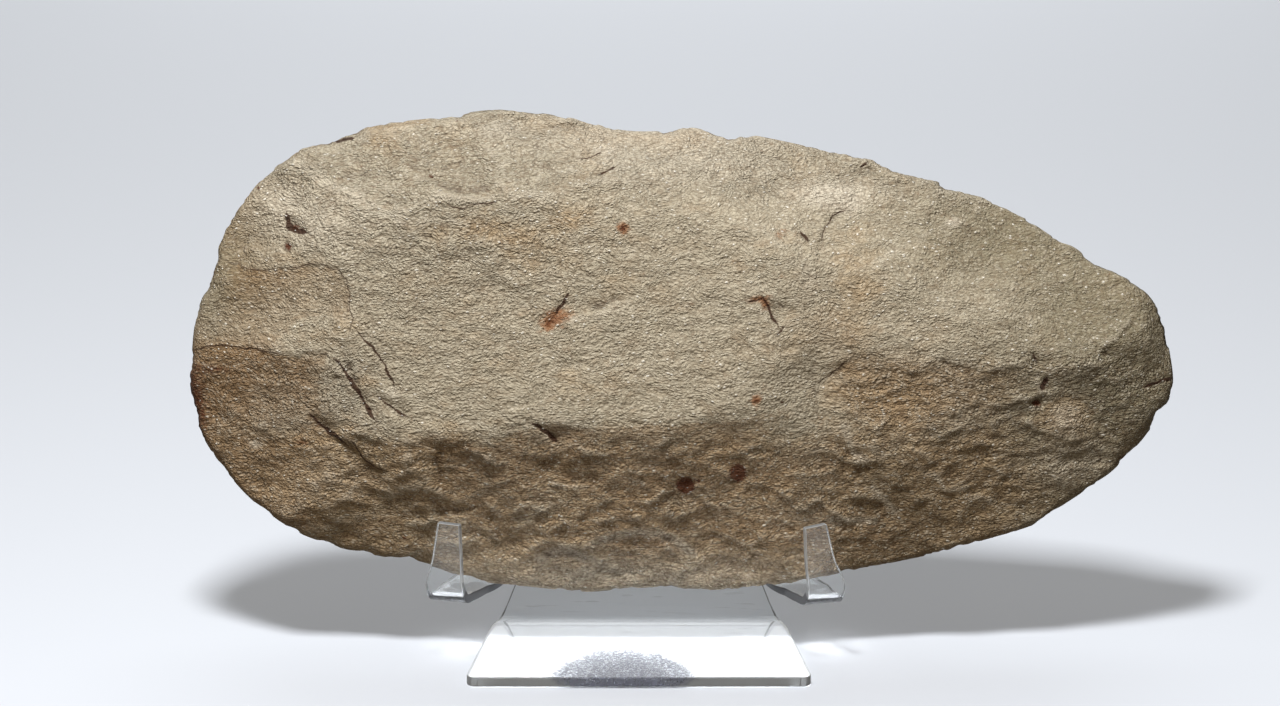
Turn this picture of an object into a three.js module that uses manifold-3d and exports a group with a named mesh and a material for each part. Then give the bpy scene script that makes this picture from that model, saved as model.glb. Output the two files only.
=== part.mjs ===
// A flaked stone celt, held upright in a clear acrylic stand with two hooked arms.
// Millimetres, +Z up. The celt's broad face looks along -Y, and its length runs along X.
import * as THREE from "three";
import {
  mergeGeometries,
  mergeVertices,
} from "three/addons/utils/BufferGeometryUtils.js";
import Module from "manifold-3d";

const wasm = await Module();
wasm.setup();

// The celt's driving sizes
const CELT_LENGTH = 172.5;
const CELT_WIDTH = 84.7;
const FRONT_DEPTH = 16;
const BACK_DEPTH = 14.5;
const LEAN_DEG = 10; // how far the celt and the back panel lean back from upright
const RIM_HEIGHT = 10.9; // the celt's lowest edge above the table

// The stand's driving sizes: one acrylic sheet, cut and bent warm
const SHEET = 1.7;
const STAND_OFFSET = -7.4; // the stand's middle, under the celt's centre of mass
const FOOT_DEPTH = 34.8;
const FOOT_FRONT_HALF = 30;
const FOOT_CORNER = 2;
const FOLD_HALF = 25.6;
const FOLD_RADIUS = 4; // to the middle of the sheet
const NECK_HALF = 18.2;
const NECK_RISE = 13; // from the fold up the panel
const PANEL_RISE = 60;
const PANEL_TOP_HALF = 17;
const PANEL_TOP_CORNER = 12;
const LEFT_REACH = 29.7; // from the stand's middle to where an arm passes under the celt
const RIGHT_REACH = 28.6;
const ARM_DIP = 0.2; // the arm's lowest stretch, below where it carries the celt
const ARM_HALF = 3.4;
const ARM_TIP_HALF = 2;
const ARM_SHEET = 1.6; // bending draws the arms a little thinner than the sheet
const HOOK_FORWARD = 9; // from the celt's lower edge to the hook's middle
const HOOK_RISE = 14; // from where an arm carries the celt to the hook's tip
const LEFT_HOOK_REACH = 32.9; // from the stand's middle to each hook's tip
const RIGHT_HOOK_REACH = 30.6;
const CLEARANCE = 0.3; // between the stone and the acrylic that it rests on

// The celt's form is drawn below in millimetres, and is scaled to the driving sizes
const DRAWN_DEPTH_SHARE = 0.0928; // how deep the front is drawn, as a share of the drawn length
const GRID_ALONG = 62;
const GRID_ACROSS = 30;

const rad = THREE.MathUtils.degToRad;

// The outline of the face, clockwise from the middle of the broad left end
const OUTLINE = [
  [-86, -2], [-85, 6], [-82.2, 13.5], [-80, 20.6], [-74, 29.3], [-67, 35],
  [-60, 37.3], [-54, 39.5], [-43, 40.8], [-32, 42.2], [-20, 40.9], [-11, 38.7],
  [-4, 38.4], [2, 39], [8, 37.6], [13, 37.6], [25, 35.1], [35, 33], [39, 30.9],
  [45, 29.8], [48.5, 28], [53, 26.9], [58.5, 24.3], [65, 20], [69, 18],
  [72.5, 15.4], [79.5, 11.9], [83.5, 7.2], [85.6, 0], [86.3, -6], [85, -10],
  [80.5, -16.5], [75.2, -21.8], [66, -28.2], [62.5, -30.7], [52, -34], [45, -36],
  [30, -39], [16, -41.6], [0, -42.3], [-7, -41.8], [-17, -42.5], [-27, -41.6],
  [-36, -40.6], [-45, -37.6], [-54.5, -36.1], [-61, -34.4], [-70, -30.7],
  [-78.5, -23.2], [-84.3, -14.8], [-86.2, -7],
];

// Scars of the flakes struck off the front. Each one starts at a place, mostly on the rim,
// and runs that way in degrees from +X. Its floor starts at a height over the middle plane,
// rises along its run, and rises to both sides as a hollow does. It ends at its reach in a wall.
const FRONT_FLAKES = [
  // round the broad left end
  { from: [-86, -9], run: 4, starts: 1.4, rise: 0.42, hollow: 0.012, reach: 30 },
  { from: [-85, 8], run: 0, starts: 1.4, rise: 0.43, hollow: 0.014, reach: 28 },
  { from: [-80, 21.5], run: 335, starts: 1, rise: 0.52, hollow: 0.008 },
  { from: [-70, 33], run: 308, starts: 1.4, rise: 0.58, hollow: 0.007 },
  // along the top edge, where short ones end in steps
  { from: [-56, 39], run: 285, starts: 1.2, rise: 0.66, hollow: 0.008, reach: 15 },
  { from: [-41, 41], run: 275, starts: 1, rise: 0.78, hollow: 0.022, reach: 12 },
  { from: [-28, 42], run: 268, starts: 1.2, rise: 0.86, hollow: 0.012, reach: 13 },
  { from: [-13, 39], run: 262, starts: 1, rise: 1.1, hollow: 0.02, reach: 9 },
  { from: [6, 38], run: 268, starts: 1.2, rise: 0.92, hollow: 0.008 },
  { from: [24, 35.2], run: 262, starts: 1.2, rise: 0.8, hollow: 0.01 },
  // the upper right, where one long shallow scar ends in a step near the middle
  { from: [66, 10], run: 178, starts: 8.6, rise: 0.1, hollow: 0.006, reach: 42, wall: 0.55 },
  { from: [40, 31], run: 255, starts: 1.2, rise: 0.56, hollow: 0.006 },
  { from: [56, 25.5], run: 245, starts: 1.4, rise: 0.46, hollow: 0.008 },
  { from: [71, 16.5], run: 232, starts: 1.2, rise: 0.44, hollow: 0.009 },
  // round the narrow right end
  { from: [85, 3], run: 197, starts: 0.8, rise: 1.2, hollow: 0.004 },
  { from: [85.5, -9], run: 168, starts: 1.2, rise: 0.48, hollow: 0.01 },
  { from: [76, -21], run: 135, starts: 1.4, rise: 0.4, hollow: 0.008 },
  // along the bottom edge, with the rough scar above them on the right
  { from: [24, -12], run: 0, starts: 11.6, rise: -0.07, hollow: 0.011, reach: 38, wall: 0.6 },
  { from: [59, -31.6], run: 114, starts: 1.4, rise: 0.36, hollow: 0.006 },
  { from: [37, -37.5], run: 100, starts: 1.2, rise: 0.38, hollow: 0.005 },
  { from: [10, -41.8], run: 93, starts: 1.4, rise: 0.45, hollow: 0.004 },
  { from: [-18, -42.4], run: 90, starts: 1.2, rise: 0.46, hollow: 0.005 },
  { from: [-41, -39], run: 82, starts: 1.4, rise: 0.52, hollow: 0.007 },
  { from: [-60, -34.6], run: 72, starts: 1.2, rise: 0.5, hollow: 0.008 },
  { from: [-77, -24.5], run: 40, starts: 1.4, rise: 0.47, hollow: 0.01 },
];
const BACK_FLAKE_COUNT = 15;
const WALL_STEEPNESS = 1.6; // where a flake broke off short, unless its own wall is gentler

// The outline as a curve, and its reach in every direction on a plane where the celt is round
const outlineCurve = new THREE.CatmullRomCurve3(
  OUTLINE.map(([u, v]) => new THREE.Vector3(u, v, 0)),
  true,
  "catmullrom",
  0.5,
);
const outlinePoints = outlineCurve.getPoints(1200);
const drawn = new THREE.Box3().setFromPoints(outlinePoints).getSize(new THREE.Vector3());
const drawnDepth = DRAWN_DEPTH_SHARE * drawn.x;
const outlineReach = outlinePoints
  .map((p) => {
    const x = (2 * p.x) / drawn.x;
    const y = (2 * p.y) / drawn.y;
    return { angle: Math.atan2(y, x), reach: Math.hypot(x, y) };
  })
  .sort((a, b) => a.angle - b.angle);

// Reads the sorted reaches at an angle, between two neighbours
function reachAt(angle) {
  const last = outlineReach.length - 1;
  if (angle <= outlineReach[0].angle || angle >= outlineReach[last].angle)
    return outlineReach[0].reach;
  let low = 0;
  let high = last;
  while (high - low > 1) {
    const middle = (low + high) >> 1;
    if (outlineReach[middle].angle <= angle) low = middle;
    else high = middle;
  }
  const a = outlineReach[low];
  const b = outlineReach[high];
  const share = (angle - a.angle) / Math.max(b.angle - a.angle, 1e-9);
  return THREE.MathUtils.lerp(a.reach, b.reach, share);
}

// How far a drawn point lies out from the middle: 0 there and 1 on the outline
function outwardShare(u, v) {
  const x = (2 * u) / drawn.x;
  const y = (2 * v) / drawn.y;
  return Math.hypot(x, y) / reachAt(Math.atan2(y, x));
}

// The edge isn't flat: it winds a little to the front and back as it goes round
function rimWander(u, v) {
  const angle = Math.atan2((2 * v) / drawn.y, (2 * u) / drawn.x);
  return 0.9 * Math.sin(3 * angle + 1) + 0.5 * Math.sin(7 * angle);
}

// Shifts a drawn point by slow waves, so that no ridge between two flakes is straight
function wobble(u, v) {
  return [
    u + 1.2 * Math.sin(0.16 * v + 0.07 * u + 1) + 0.5 * Math.sin(0.41 * v - 0.2 * u),
    v + 1.0 * Math.sin(0.13 * u - 0.09 * v + 2) + 0.4 * Math.sin(0.37 * u + 0.3 * v),
  ];
}

// A flake's floor over the middle plane
function flakeFloor(flake, u, v) {
  const run = rad(flake.run);
  const du = u - flake.from[0];
  const dv = v - flake.from[1];
  const along = du * Math.cos(run) + dv * Math.sin(run);
  const aside = dv * Math.cos(run) - du * Math.sin(run);
  const beyond = flake.reach ? Math.max(along - flake.reach, -along, 0) : 0;
  return (
    flake.starts +
    flake.rise * along +
    flake.hollow * aside * aside +
    (flake.wall ?? WALL_STEEPNESS) * beyond
  );
}

// The back's flakes run in from points spaced evenly round the rim, each a little different
const BACK_FLAKES = Array.from({ length: BACK_FLAKE_COUNT }, (_, k) => {
  const rim = outlineCurve.getPoint(k / BACK_FLAKE_COUNT);
  const inward = Math.atan2(-0.9 * rim.y, -0.35 * rim.x);
  return {
    from: [rim.x, rim.y],
    run: THREE.MathUtils.radToDeg(inward) + 14 * Math.sin(2.4 * k),
    starts: 1.2,
    rise: 0.52 + 0.12 * Math.sin(1.7 * k + 1),
    hollow: 0.007 + 0.003 * Math.sin(3.1 * k),
  };
});

// The height of a face over the middle plane: the lowest of a dome, a flat and every flake
function faceHeight(u, v, flakes, depth, tilt) {
  const share = Math.min(outwardShare(u, v), 1);
  const dome = depth * Math.pow(1 - Math.pow(share, 3), 0.6);
  const flat = 0.975 * depth - tilt * v;
  const [wu, wv] = wobble(u, v);
  const floors = flakes.map((flake) => flakeFloor(flake, wu, wv));
  return Math.max(Math.min(dome, flat, ...floors), 0);
}

const frontScale = FRONT_DEPTH / drawnDepth;
const backScale = BACK_DEPTH / drawnDepth;
function frontSurface(u, v) {
  const middle = rimWander(u, v) * Math.pow(outwardShare(u, v), 2);
  return middle + frontScale * faceHeight(u, v, FRONT_FLAKES, drawnDepth, 0.08);
}
function backSurface(u, v) {
  const middle = rimWander(u, v) * Math.pow(outwardShare(u, v), 2);
  return middle - backScale * faceHeight(u, v, BACK_FLAKES, drawnDepth, 0.02);
}

// Carries a square's point to a round one without crowding, ring by ring
function squareToDisk(s, t) {
  if (s === 0 && t === 0) return [0, 0];
  const wide = Math.abs(s) > Math.abs(t);
  const radius = wide ? s : t;
  const angle = wide
    ? (Math.PI / 4) * (t / s)
    : Math.PI / 2 - (Math.PI / 4) * (s / t);
  return [radius * Math.cos(angle), radius * Math.sin(angle)];
}

// One face as a grid laid over the outline and raised to its surface, in real millimetres
function celtFace(surface, outwards) {
  const face = new THREE.PlaneGeometry(2, 2, GRID_ALONG, GRID_ACROSS);
  const position = face.getAttribute("position");
  for (let i = 0; i < position.count; i++) {
    const [x, y] = squareToDisk(position.getX(i), position.getY(i));
    const ring = Math.min(Math.hypot(x, y), 1);
    const stretch = 1 + (reachAt(Math.atan2(y, x)) - 1) * ring * ring;
    const u = (x * stretch * drawn.x) / 2;
    const v = (y * stretch * drawn.y) / 2;
    const onRim = ring > 1 - 1e-6;
    position.setXYZ(
      i,
      (u * CELT_LENGTH) / drawn.x,
      (v * CELT_WIDTH) / drawn.y,
      onRim ? rimWander(u, v) : surface(u, v),
    );
  }
  if (!outwards) face.index.array.reverse();
  face.deleteAttribute("normal");
  face.deleteAttribute("uv");
  return face;
}

function celtGeometry() {
  const closed = mergeVertices(
    mergeGeometries([celtFace(frontSurface, true), celtFace(backSurface, false)]),
    1e-3,
  );
  closed.computeVertexNormals();
  return closed;
}

// The celt stands on its long edge and leans back
const lean = rad(LEAN_DEG);
const celt = new THREE.Mesh(
  celtGeometry(),
  new THREE.MeshStandardMaterial({ color: 0xa09582, roughness: 0.85, metalness: 0 }),
);
celt.name = "celt";
celt.rotation.x = Math.PI / 2 - lean;
celt.position.set(
  0,
  (CELT_WIDTH / 2) * Math.sin(lean),
  RIM_HEIGHT + (CELT_WIDTH / 2) * Math.cos(lean),
);
celt.updateMatrixWorld(true);

// The celt's lower edge at a place along its length, in the part's frame
function lowerEdgeAt(x) {
  const along = (x * drawn.x) / CELT_LENGTH;
  const below = outlinePoints.filter((p) => p.y < 0);
  const near = below.reduce((a, b) =>
    Math.abs(b.x - along) < Math.abs(a.x - along) ? b : a,
  );
  return celt.localToWorld(
    new THREE.Vector3(
      x,
      (near.y * CELT_WIDTH) / drawn.y,
      rimWander(near.x, near.y),
    ),
  );
}

// How far the stone swells back over the panel's width, from its middle plane
function swellOverPanel() {
  let swell = 0;
  for (let u = -PANEL_TOP_HALF; u <= PANEL_TOP_HALF; u += 1)
    for (let v = -drawn.y / 3; v <= drawn.y / 3; v += 1)
      swell = Math.max(swell, -backSurface(u + STAND_OFFSET, v));
  return swell;
}

// A flat strap bent along a path: a box whose length follows the stations, each with a
// middle, the way across, half a width and half a thickness
function strapGeometry(stations) {
  const count = stations.length - 1;
  const strap = new THREE.BoxGeometry(1, 1, 1, 1, count, 1);
  const position = strap.getAttribute("position");
  for (let i = 0; i < position.count; i++) {
    const k = Math.round((position.getY(i) + 0.5) * count);
    const { middle, across, half, thick } = stations[k];
    const ahead = stations[Math.min(k + 1, count)].middle;
    const behind = stations[Math.max(k - 1, 0)].middle;
    const along = ahead.clone().sub(behind).normalize();
    const side = across.clone().addScaledVector(along, -across.dot(along)).normalize();
    const face = side.clone().cross(along);
    const point = middle
      .clone()
      .addScaledVector(side, 2 * position.getX(i) * half)
      .addScaledVector(face, position.getZ(i) * thick);
    position.setXYZ(i, point.x, point.y, point.z);
  }
  strap.deleteAttribute("normal");
  strap.deleteAttribute("uv");
  return mergeVertices(strap, 1e-4);
}

function solidOf(geometry) {
  return new wasm.Manifold(
    new wasm.Mesh({
      numProp: 3,
      vertProperties: geometry.getAttribute("position").array,
      triVerts: new Uint32Array(geometry.index.array),
    }),
  );
}

function geometryOf(solid) {
  const mesh = solid.getMesh();
  const geometry = new THREE.BufferGeometry();
  geometry.setAttribute("position", new THREE.BufferAttribute(mesh.vertProperties, 3));
  geometry.setIndex(new THREE.BufferAttribute(mesh.triVerts, 1));
  geometry.computeVertexNormals();
  return geometry;
}

// The back panel's middle plane: where it crosses the table's level, and how it leans
const upPanel = new THREE.Vector3(0, Math.sin(lean), Math.cos(lean));
const panelGap = swellOverPanel() + CLEARANCE + SHEET / 2;
const panelFoot = celt.localToWorld(new THREE.Vector3(0, 0, -panelGap));
panelFoot.addScaledVector(upPanel, -(panelFoot.z - SHEET / 2) / upPanel.z);
const foldTurn = Math.PI / 2 - lean; // from lying flat to standing at the lean
const foldTangent = FOLD_RADIUS * Math.tan(foldTurn / 2);

// A point of the panel's middle plane, so far to the side and so far up from the fold
function onPanel(x, rise) {
  return panelFoot
    .clone()
    .addScaledVector(upPanel, foldTangent + rise)
    .setX(STAND_OFFSET + x);
}

// Half the sheet's width with a rounded corner, at a distance from the sheet's end
function rounded(half, corner, fromEnd) {
  const inCorner = Math.max(corner - fromEnd, 0);
  return half - corner + Math.sqrt(corner * corner - inCorner * inCorner);
}

// The foot, the fold and the back panel as one strap from the front edge to the top
function bodyStations() {
  const across = new THREE.Vector3(1, 0, 0);
  const stations = [];
  const add = (middle, half) =>
    stations.push({ middle, across, half, thick: SHEET });
  const frontY = panelFoot.y - FOOT_DEPTH;
  const foldY = panelFoot.y - foldTangent;
  for (const back of [0, 0.15, 0.6, 1.2, FOOT_CORNER, 0.5 * FOOT_DEPTH]) {
    const taper = back / FOOT_DEPTH;
    const half = THREE.MathUtils.lerp(FOOT_FRONT_HALF, FOLD_HALF, taper);
    add(
      new THREE.Vector3(STAND_OFFSET, frontY + back, SHEET / 2),
      rounded(half, FOOT_CORNER, back),
    );
  }
  const bendLength = foldTurn * FOLD_RADIUS;
  const taperedHalf = (length) =>
    THREE.MathUtils.lerp(FOLD_HALF, NECK_HALF, length / (bendLength + NECK_RISE));
  const foldSteps = 8;
  for (let k = 0; k <= foldSteps; k++) {
    const turn = (foldTurn * k) / foldSteps;
    add(
      new THREE.Vector3(
        STAND_OFFSET,
        foldY + FOLD_RADIUS * Math.sin(turn),
        SHEET / 2 + FOLD_RADIUS * (1 - Math.cos(turn)),
      ),
      taperedHalf(turn * FOLD_RADIUS),
    );
  }
  for (const rise of [0.25, 0.5, 0.75, 1].map((share) => share * NECK_RISE))
    add(onPanel(0, rise), taperedHalf(bendLength + rise));
  const topFrom = PANEL_RISE - PANEL_TOP_CORNER;
  const cornerSteps = 7;
  add(onPanel(0, (NECK_RISE + topFrom) / 2), (NECK_HALF + PANEL_TOP_HALF) / 2);
  for (let k = 0; k <= cornerSteps; k++) {
    const up = PANEL_TOP_CORNER * Math.sin((0.97 * Math.PI * k) / (2 * cornerSteps));
    add(
      onPanel(0, topFrom + up),
      rounded(PANEL_TOP_HALF, PANEL_TOP_CORNER, PANEL_TOP_CORNER - up),
    );
  }
  return stations;
}

// One arm: out of the panel's neck, twisting to pass flat under the celt, up into a hook.
// side is -1 for the left arm and 1 for the right.
function armStations(side, reach, hookReach) {
  const edge = lowerEdgeAt(STAND_OFFSET + side * reach);
  const level = edge.z - CLEARANCE - ARM_SHEET / 2;
  const at = (x, y, z) =>
    new THREE.Vector3(STAND_OFFSET + side * x, edge.y + y, level + z);
  const turned = (inward, forward, down) =>
    new THREE.Vector3(-side * inward, -forward, -down).normalize();
  const flat = turned(0.82, 0.57, 0);
  const upright = turned(1, 0.27, 0);
  const path = [
    { middle: onPanel(side * (NECK_HALF - 3), NECK_RISE), across: turned(0, 0, 1) },
    { middle: onPanel(side * (NECK_HALF + 1.5), NECK_RISE - 1.6), across: turned(0, 0.1, 1) },
    { middle: at(reach - 3.6, 6.4, 0.9), across: turned(0.6, 0.6, 0.6) },
    { middle: at(reach, 0, 0), across: turned(0.78, 0.6, 0.15) },
    { middle: at(reach + 2, 4.8 - HOOK_FORWARD, -ARM_DIP), across: flat },
    { middle: at(reach + 3.4, 1.6 - HOOK_FORWARD, 0.5 - ARM_DIP), across: upright },
    { middle: at(reach + 4, 0.1 - HOOK_FORWARD, 2.8), across: upright },
    { middle: at((reach + 4 + hookReach) / 2, -HOOK_FORWARD, 0.5 * HOOK_RISE), across: upright },
    { middle: at(hookReach, 0.2 - HOOK_FORWARD, HOOK_RISE), across: upright },
  ].map((place, k, all) => ({
    ...place,
    half: THREE.MathUtils.lerp(
      ARM_HALF,
      ARM_TIP_HALF,
      Math.max((k - all.length + 3) / 2, 0),
    ),
  }));
  const curve = new THREE.CatmullRomCurve3(path.map((p) => p.middle));
  const steps = 28;
  return Array.from({ length: steps + 1 }, (_, k) => {
    const place = (k / steps) * (path.length - 1);
    const from = path[Math.min(Math.floor(place), path.length - 2)];
    const to = path[Math.min(Math.floor(place) + 1, path.length - 1)];
    const share = place - path.indexOf(from);
    return {
      middle: curve.getPoint(k / steps),
      across: from.across.clone().lerp(to.across, share),
      half: THREE.MathUtils.lerp(from.half, to.half, share),
      thick: ARM_SHEET,
    };
  });
}

function standGeometry() {
  return geometryOf(
    [
      armStations(-1, LEFT_REACH, LEFT_HOOK_REACH),
      armStations(1, RIGHT_REACH, RIGHT_HOOK_REACH),
    ]
      .map((stations) => solidOf(strapGeometry(stations)))
      .reduce((whole, arm) => whole.add(arm), solidOf(strapGeometry(bodyStations()))),
  );
}

const stand = new THREE.Mesh(
  standGeometry(),
  new THREE.MeshStandardMaterial({
    color: 0xeef3f4,
    roughness: 0.06,
    metalness: 0,
    transparent: true,
    opacity: 0.3,
  }),
);
stand.name = "display_stand";

// The origin is the middle of the whole, on the table
const whole = new THREE.Group();
whole.add(celt, stand);
const box = new THREE.Box3().setFromObject(whole, true);
const centre = box.getCenter(new THREE.Vector3());
whole.children.forEach((piece) => {
  piece.position.x -= centre.x;
  piece.position.y -= centre.y;
  piece.position.z -= box.min.z;
});

export default whole;
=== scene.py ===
# %% [markdown]
# # A flaked stone celt in a clear stand
#
# The object is two pieces: a slab of fine quartzite that was flaked into a long oval, and one
# sheet of clear acrylic that was cut, warmed and bent into a foot, a back and two hooked arms.
# Their solids are loaded first. Everything made below lies where those solids are, in metres.

import math

import bpy
import numpy as np
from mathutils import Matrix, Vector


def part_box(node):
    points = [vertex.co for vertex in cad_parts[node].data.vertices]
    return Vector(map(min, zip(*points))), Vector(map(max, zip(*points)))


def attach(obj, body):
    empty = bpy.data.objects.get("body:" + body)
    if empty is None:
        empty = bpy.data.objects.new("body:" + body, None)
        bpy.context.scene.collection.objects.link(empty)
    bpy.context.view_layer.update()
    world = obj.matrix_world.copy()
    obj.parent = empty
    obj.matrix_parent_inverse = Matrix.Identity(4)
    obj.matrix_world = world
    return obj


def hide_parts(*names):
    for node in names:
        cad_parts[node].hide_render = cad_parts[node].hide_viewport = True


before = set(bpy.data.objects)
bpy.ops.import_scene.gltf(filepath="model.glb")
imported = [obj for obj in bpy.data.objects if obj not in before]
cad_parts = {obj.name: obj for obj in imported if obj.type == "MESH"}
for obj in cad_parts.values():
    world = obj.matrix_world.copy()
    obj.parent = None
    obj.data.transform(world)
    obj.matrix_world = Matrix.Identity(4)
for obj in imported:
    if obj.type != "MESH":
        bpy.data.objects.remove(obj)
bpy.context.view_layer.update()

# %% [markdown]
# ## The celt's own axes
#
# It is easier to shape the stone lying flat than leaning in its stand. In its own axes, in
# millimetres, u runs along the celt, v across its broad face and w out of that face. A turn
# about X and a shift then stand it up. The stone could be sculpted by hand instead, but
# formulas give the same stone every time, and every scar stays a number that can be changed.

# %% Sizes, in millimetres and degrees
MM = 0.001
TINY, FAR = 1e-6, 1e9  # stand for almost nothing and for endlessly far
CELT_LENGTH = 172.5
CELT_WIDTH = 84.7
CELT_DEPTH = 16
BACK_SHARE = 14.5 / 16
LEAN = math.radians(10)
LEAN_COS, LEAN_SIN = math.cos(LEAN), math.sin(LEAN)
CELT_LOW, CELT_HIGH = (np.array(corner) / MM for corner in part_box("celt"))
print("celt solid in mm:", np.round(CELT_HIGH - CELT_LOW, 1))

# %% [markdown]
# ## Noise
#
# Broken stone is rough at every scale. Gradient noise gives that roughness: a random slope sits
# at each corner of a square lattice, and the height between the corners blends the four slopes.
# Adding octaves, each finer and weaker, makes a fractal like a real fracture.

# %% Gradient noise on whole arrays
LATTICE = 128  # corners each way, after which the slopes repeat


def noise(x, y, seed):
    """Height from -1 to 1: each corner's slope times the way to it, blended by a smooth step."""
    angle = np.random.default_rng(seed).uniform(0, 2 * np.pi, (LATTICE, LATTICE))
    slope_x, slope_y = np.cos(angle), np.sin(angle)
    i, j = np.floor(x).astype(int), np.floor(y).astype(int)
    s, t = x - i, y - j

    def corner(di, dj):
        a, b = (i + di) % LATTICE, (j + dj) % LATTICE
        return slope_x[a, b] * (s - di) + slope_y[a, b] * (t - dj)

    ease_s = s * s * s * (s * (6 * s - 15) + 10)
    ease_t = t * t * t * (t * (6 * t - 15) + 10)
    low = corner(0, 0) + ease_s * (corner(1, 0) - corner(0, 0))
    high = corner(0, 1) + ease_s * (corner(1, 1) - corner(0, 1))
    return 1.5 * (low + ease_t * (high - low))


def fractal(x, y, size, octaves, seed, fade=0.5):
    """Octaves of noise: the first has bumps of the given size, each next is half as big."""
    total = np.zeros_like(x)
    for k in range(octaves):
        scale = 2.0**k / size
        total += fade**k * noise(x * scale + 17 * k, y * scale + 31 * k, seed + k)
    return total


def ramp(x, low, high):
    """Smooth step: 0 below low, 1 above high."""
    t = np.clip((x - low) / (high - low), 0, 1)
    return t * t * (3 - 2 * t)


def ragged(u, v, amount, size, seed_u, seed_v):
    """Places moved by noise, so that what is drawn there has ragged edges."""
    return (
        u + amount * fractal(u, v, size, 3, seed_u),
        v + amount * fractal(u, v, size, 3, seed_v),
    )


test_u, test_v = np.meshgrid(np.linspace(-80, 80, 81), np.linspace(-40, 40, 41))
print("noise spread:", np.round(np.std(fractal(test_u, test_v, 10, 4, 5)), 3))

# %% [markdown]
# ## The outline
#
# Seen from the front the celt is a long oval, broad and round on the left, narrow on the right.
# A closed Catmull-Rom curve runs through a few dozen points round it, clockwise from the left
# end. The edge was chipped all round, so fine nicks are cut into it afterwards.

# %% The points that the outline runs through
OUTLINE = np.array([
    [-86, -2], [-85, 6], [-82.2, 13.5], [-80, 20.6], [-74, 29.3], [-67, 35],
    [-60, 37.3], [-54, 39.5], [-43, 40.8], [-32, 42.2], [-20, 40.9], [-11, 38.7],
    [-4, 38.4], [2, 39], [8, 37.6], [13, 37.6], [25, 35.1], [35, 33], [39, 30.9],
    [45, 29.8], [48.5, 28], [53, 26.9], [58.5, 24.3], [65, 20], [69, 18],
    [72.5, 15.4], [79.5, 11.9], [83.5, 7.2], [85.6, 0], [86.3, -6], [85, -10],
    [80.5, -16.5], [75.2, -21.8], [66, -28.2], [62.5, -30.7], [52, -34], [45, -36],
    [30, -39], [16, -41.6], [0, -42.3], [-7, -41.8], [-17, -42.5], [-27, -41.6],
    [-36, -40.6], [-45, -37.6], [-54.5, -36.1], [-61, -34.4], [-70, -30.7],
    [-78.5, -23.2], [-84.3, -14.8], [-86.2, -7],
])


def cubic(start, end, slope_in, slope_out, t):
    """The cubic from start to end that has a given slope at each, at t from 0 to 1."""
    a = 2 * start - 2 * end + slope_in + slope_out
    b = -3 * start + 3 * end - 2 * slope_in - slope_out
    return ((a * t + b) * t + slope_in) * t + start


def closed_curve(points, per_span):
    """Catmull-Rom: each span is a cubic whose end slopes are half the way between neighbours."""
    t = np.linspace(0, 1, per_span, endpoint=False)[None, :, None]
    before, start = np.roll(points, 1, axis=0)[:, None], points[:, None]
    end, after = np.roll(points, -1, axis=0)[:, None], np.roll(points, -2, axis=0)[:, None]
    slope_in, slope_out = (end - before) / 2, (after - start) / 2
    return cubic(start, end, slope_in, slope_out, t).reshape(-1, 2)


# %% How far the outline reaches in each direction
POINTS_PER_SPAN = 24
rim_points = closed_curve(OUTLINE, POINTS_PER_SPAN)
DRAWN_LENGTH, DRAWN_WIDTH = np.ptp(rim_points, axis=0)


def round_plane(u, v):
    """Squeezes the celt's plane so that the oval becomes nearly a circle."""
    return 2 * u / DRAWN_LENGTH, 2 * v / DRAWN_WIDTH


rim_x, rim_y = round_plane(*rim_points.T)
rim_angle = np.arctan2(rim_y, rim_x)
rim_order = np.argsort(rim_angle)
rim_angle = rim_angle[rim_order]
rim_reach = np.hypot(rim_x, rim_y)[rim_order]


def plain_reach(angle):
    """The outline's distance from the middle on the squeezed plane."""
    return np.interp(angle, rim_angle, rim_reach, period=2 * np.pi)


NICK_SIZE = 5.0  # mm along the rim
NICK_DEPTH = 0.55  # mm
NICKS = [  # place on the rim in mm, depth and half a width
    (-81.5, 16, 0.5, 1.4), (-85.2, -11, 0.5, 1.5), (-57, 38.3, 0.5, 2.2), (6.5, 38.2, 0.4, 2.0),
    (36.5, 32.2, 0.5, 1.8), (46.5, 29.2, 0.5, 1.6), (54.5, 26, 0.5, 2.0), (84.5, -11, 0.6, 1.4),
    (78.5, -19, 0.5, 1.6), (64, -29.5, 0.5, 1.8), (49, -35.3, 0.5, 1.6), (-3, -42, 0.4, 2.0),
    (-48, -36.9, 0.5, 1.8), (-57, -35.4, 0.4, 1.6), (-73, -28.4, 0.5, 1.7),
]


def nicked_reach(angle):
    """The outline with its nicks: noise that only cuts inwards, and a few larger bites."""
    reach = plain_reach(angle)
    along_u = reach * np.cos(angle) * DRAWN_LENGTH / 2
    along_v = reach * np.sin(angle) * DRAWN_WIDTH / 2
    rough = fractal(along_u, along_v, NICK_SIZE, 4, 40, 0.6)
    cut = NICK_DEPTH * np.clip(0.25 + rough, 0, 2)
    for u, v, depth, half in NICKS:
        near = np.hypot(along_u - u, along_v - v)
        cut = cut + depth * np.exp(-((near / half) ** 2))
    return reach * (1 - cut / np.hypot(along_u, along_v))


print("outline points:", len(rim_points), "reach:", np.round([rim_reach.min(), rim_reach.max()], 3))

# %% [markdown]
# ## The flake scars
#
# Flakes were struck off the rim, and each left a shallow hollow that runs in from the edge.
# A face of the celt is the lowest of all these hollow floors, of a dome and of one broad flat
# that is the old surface of the slab. Where two floors meet there is a ridge, as on real flint
# or quartzite. A short flake broke off in a step, so its floor ends in a steep wall.

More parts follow.
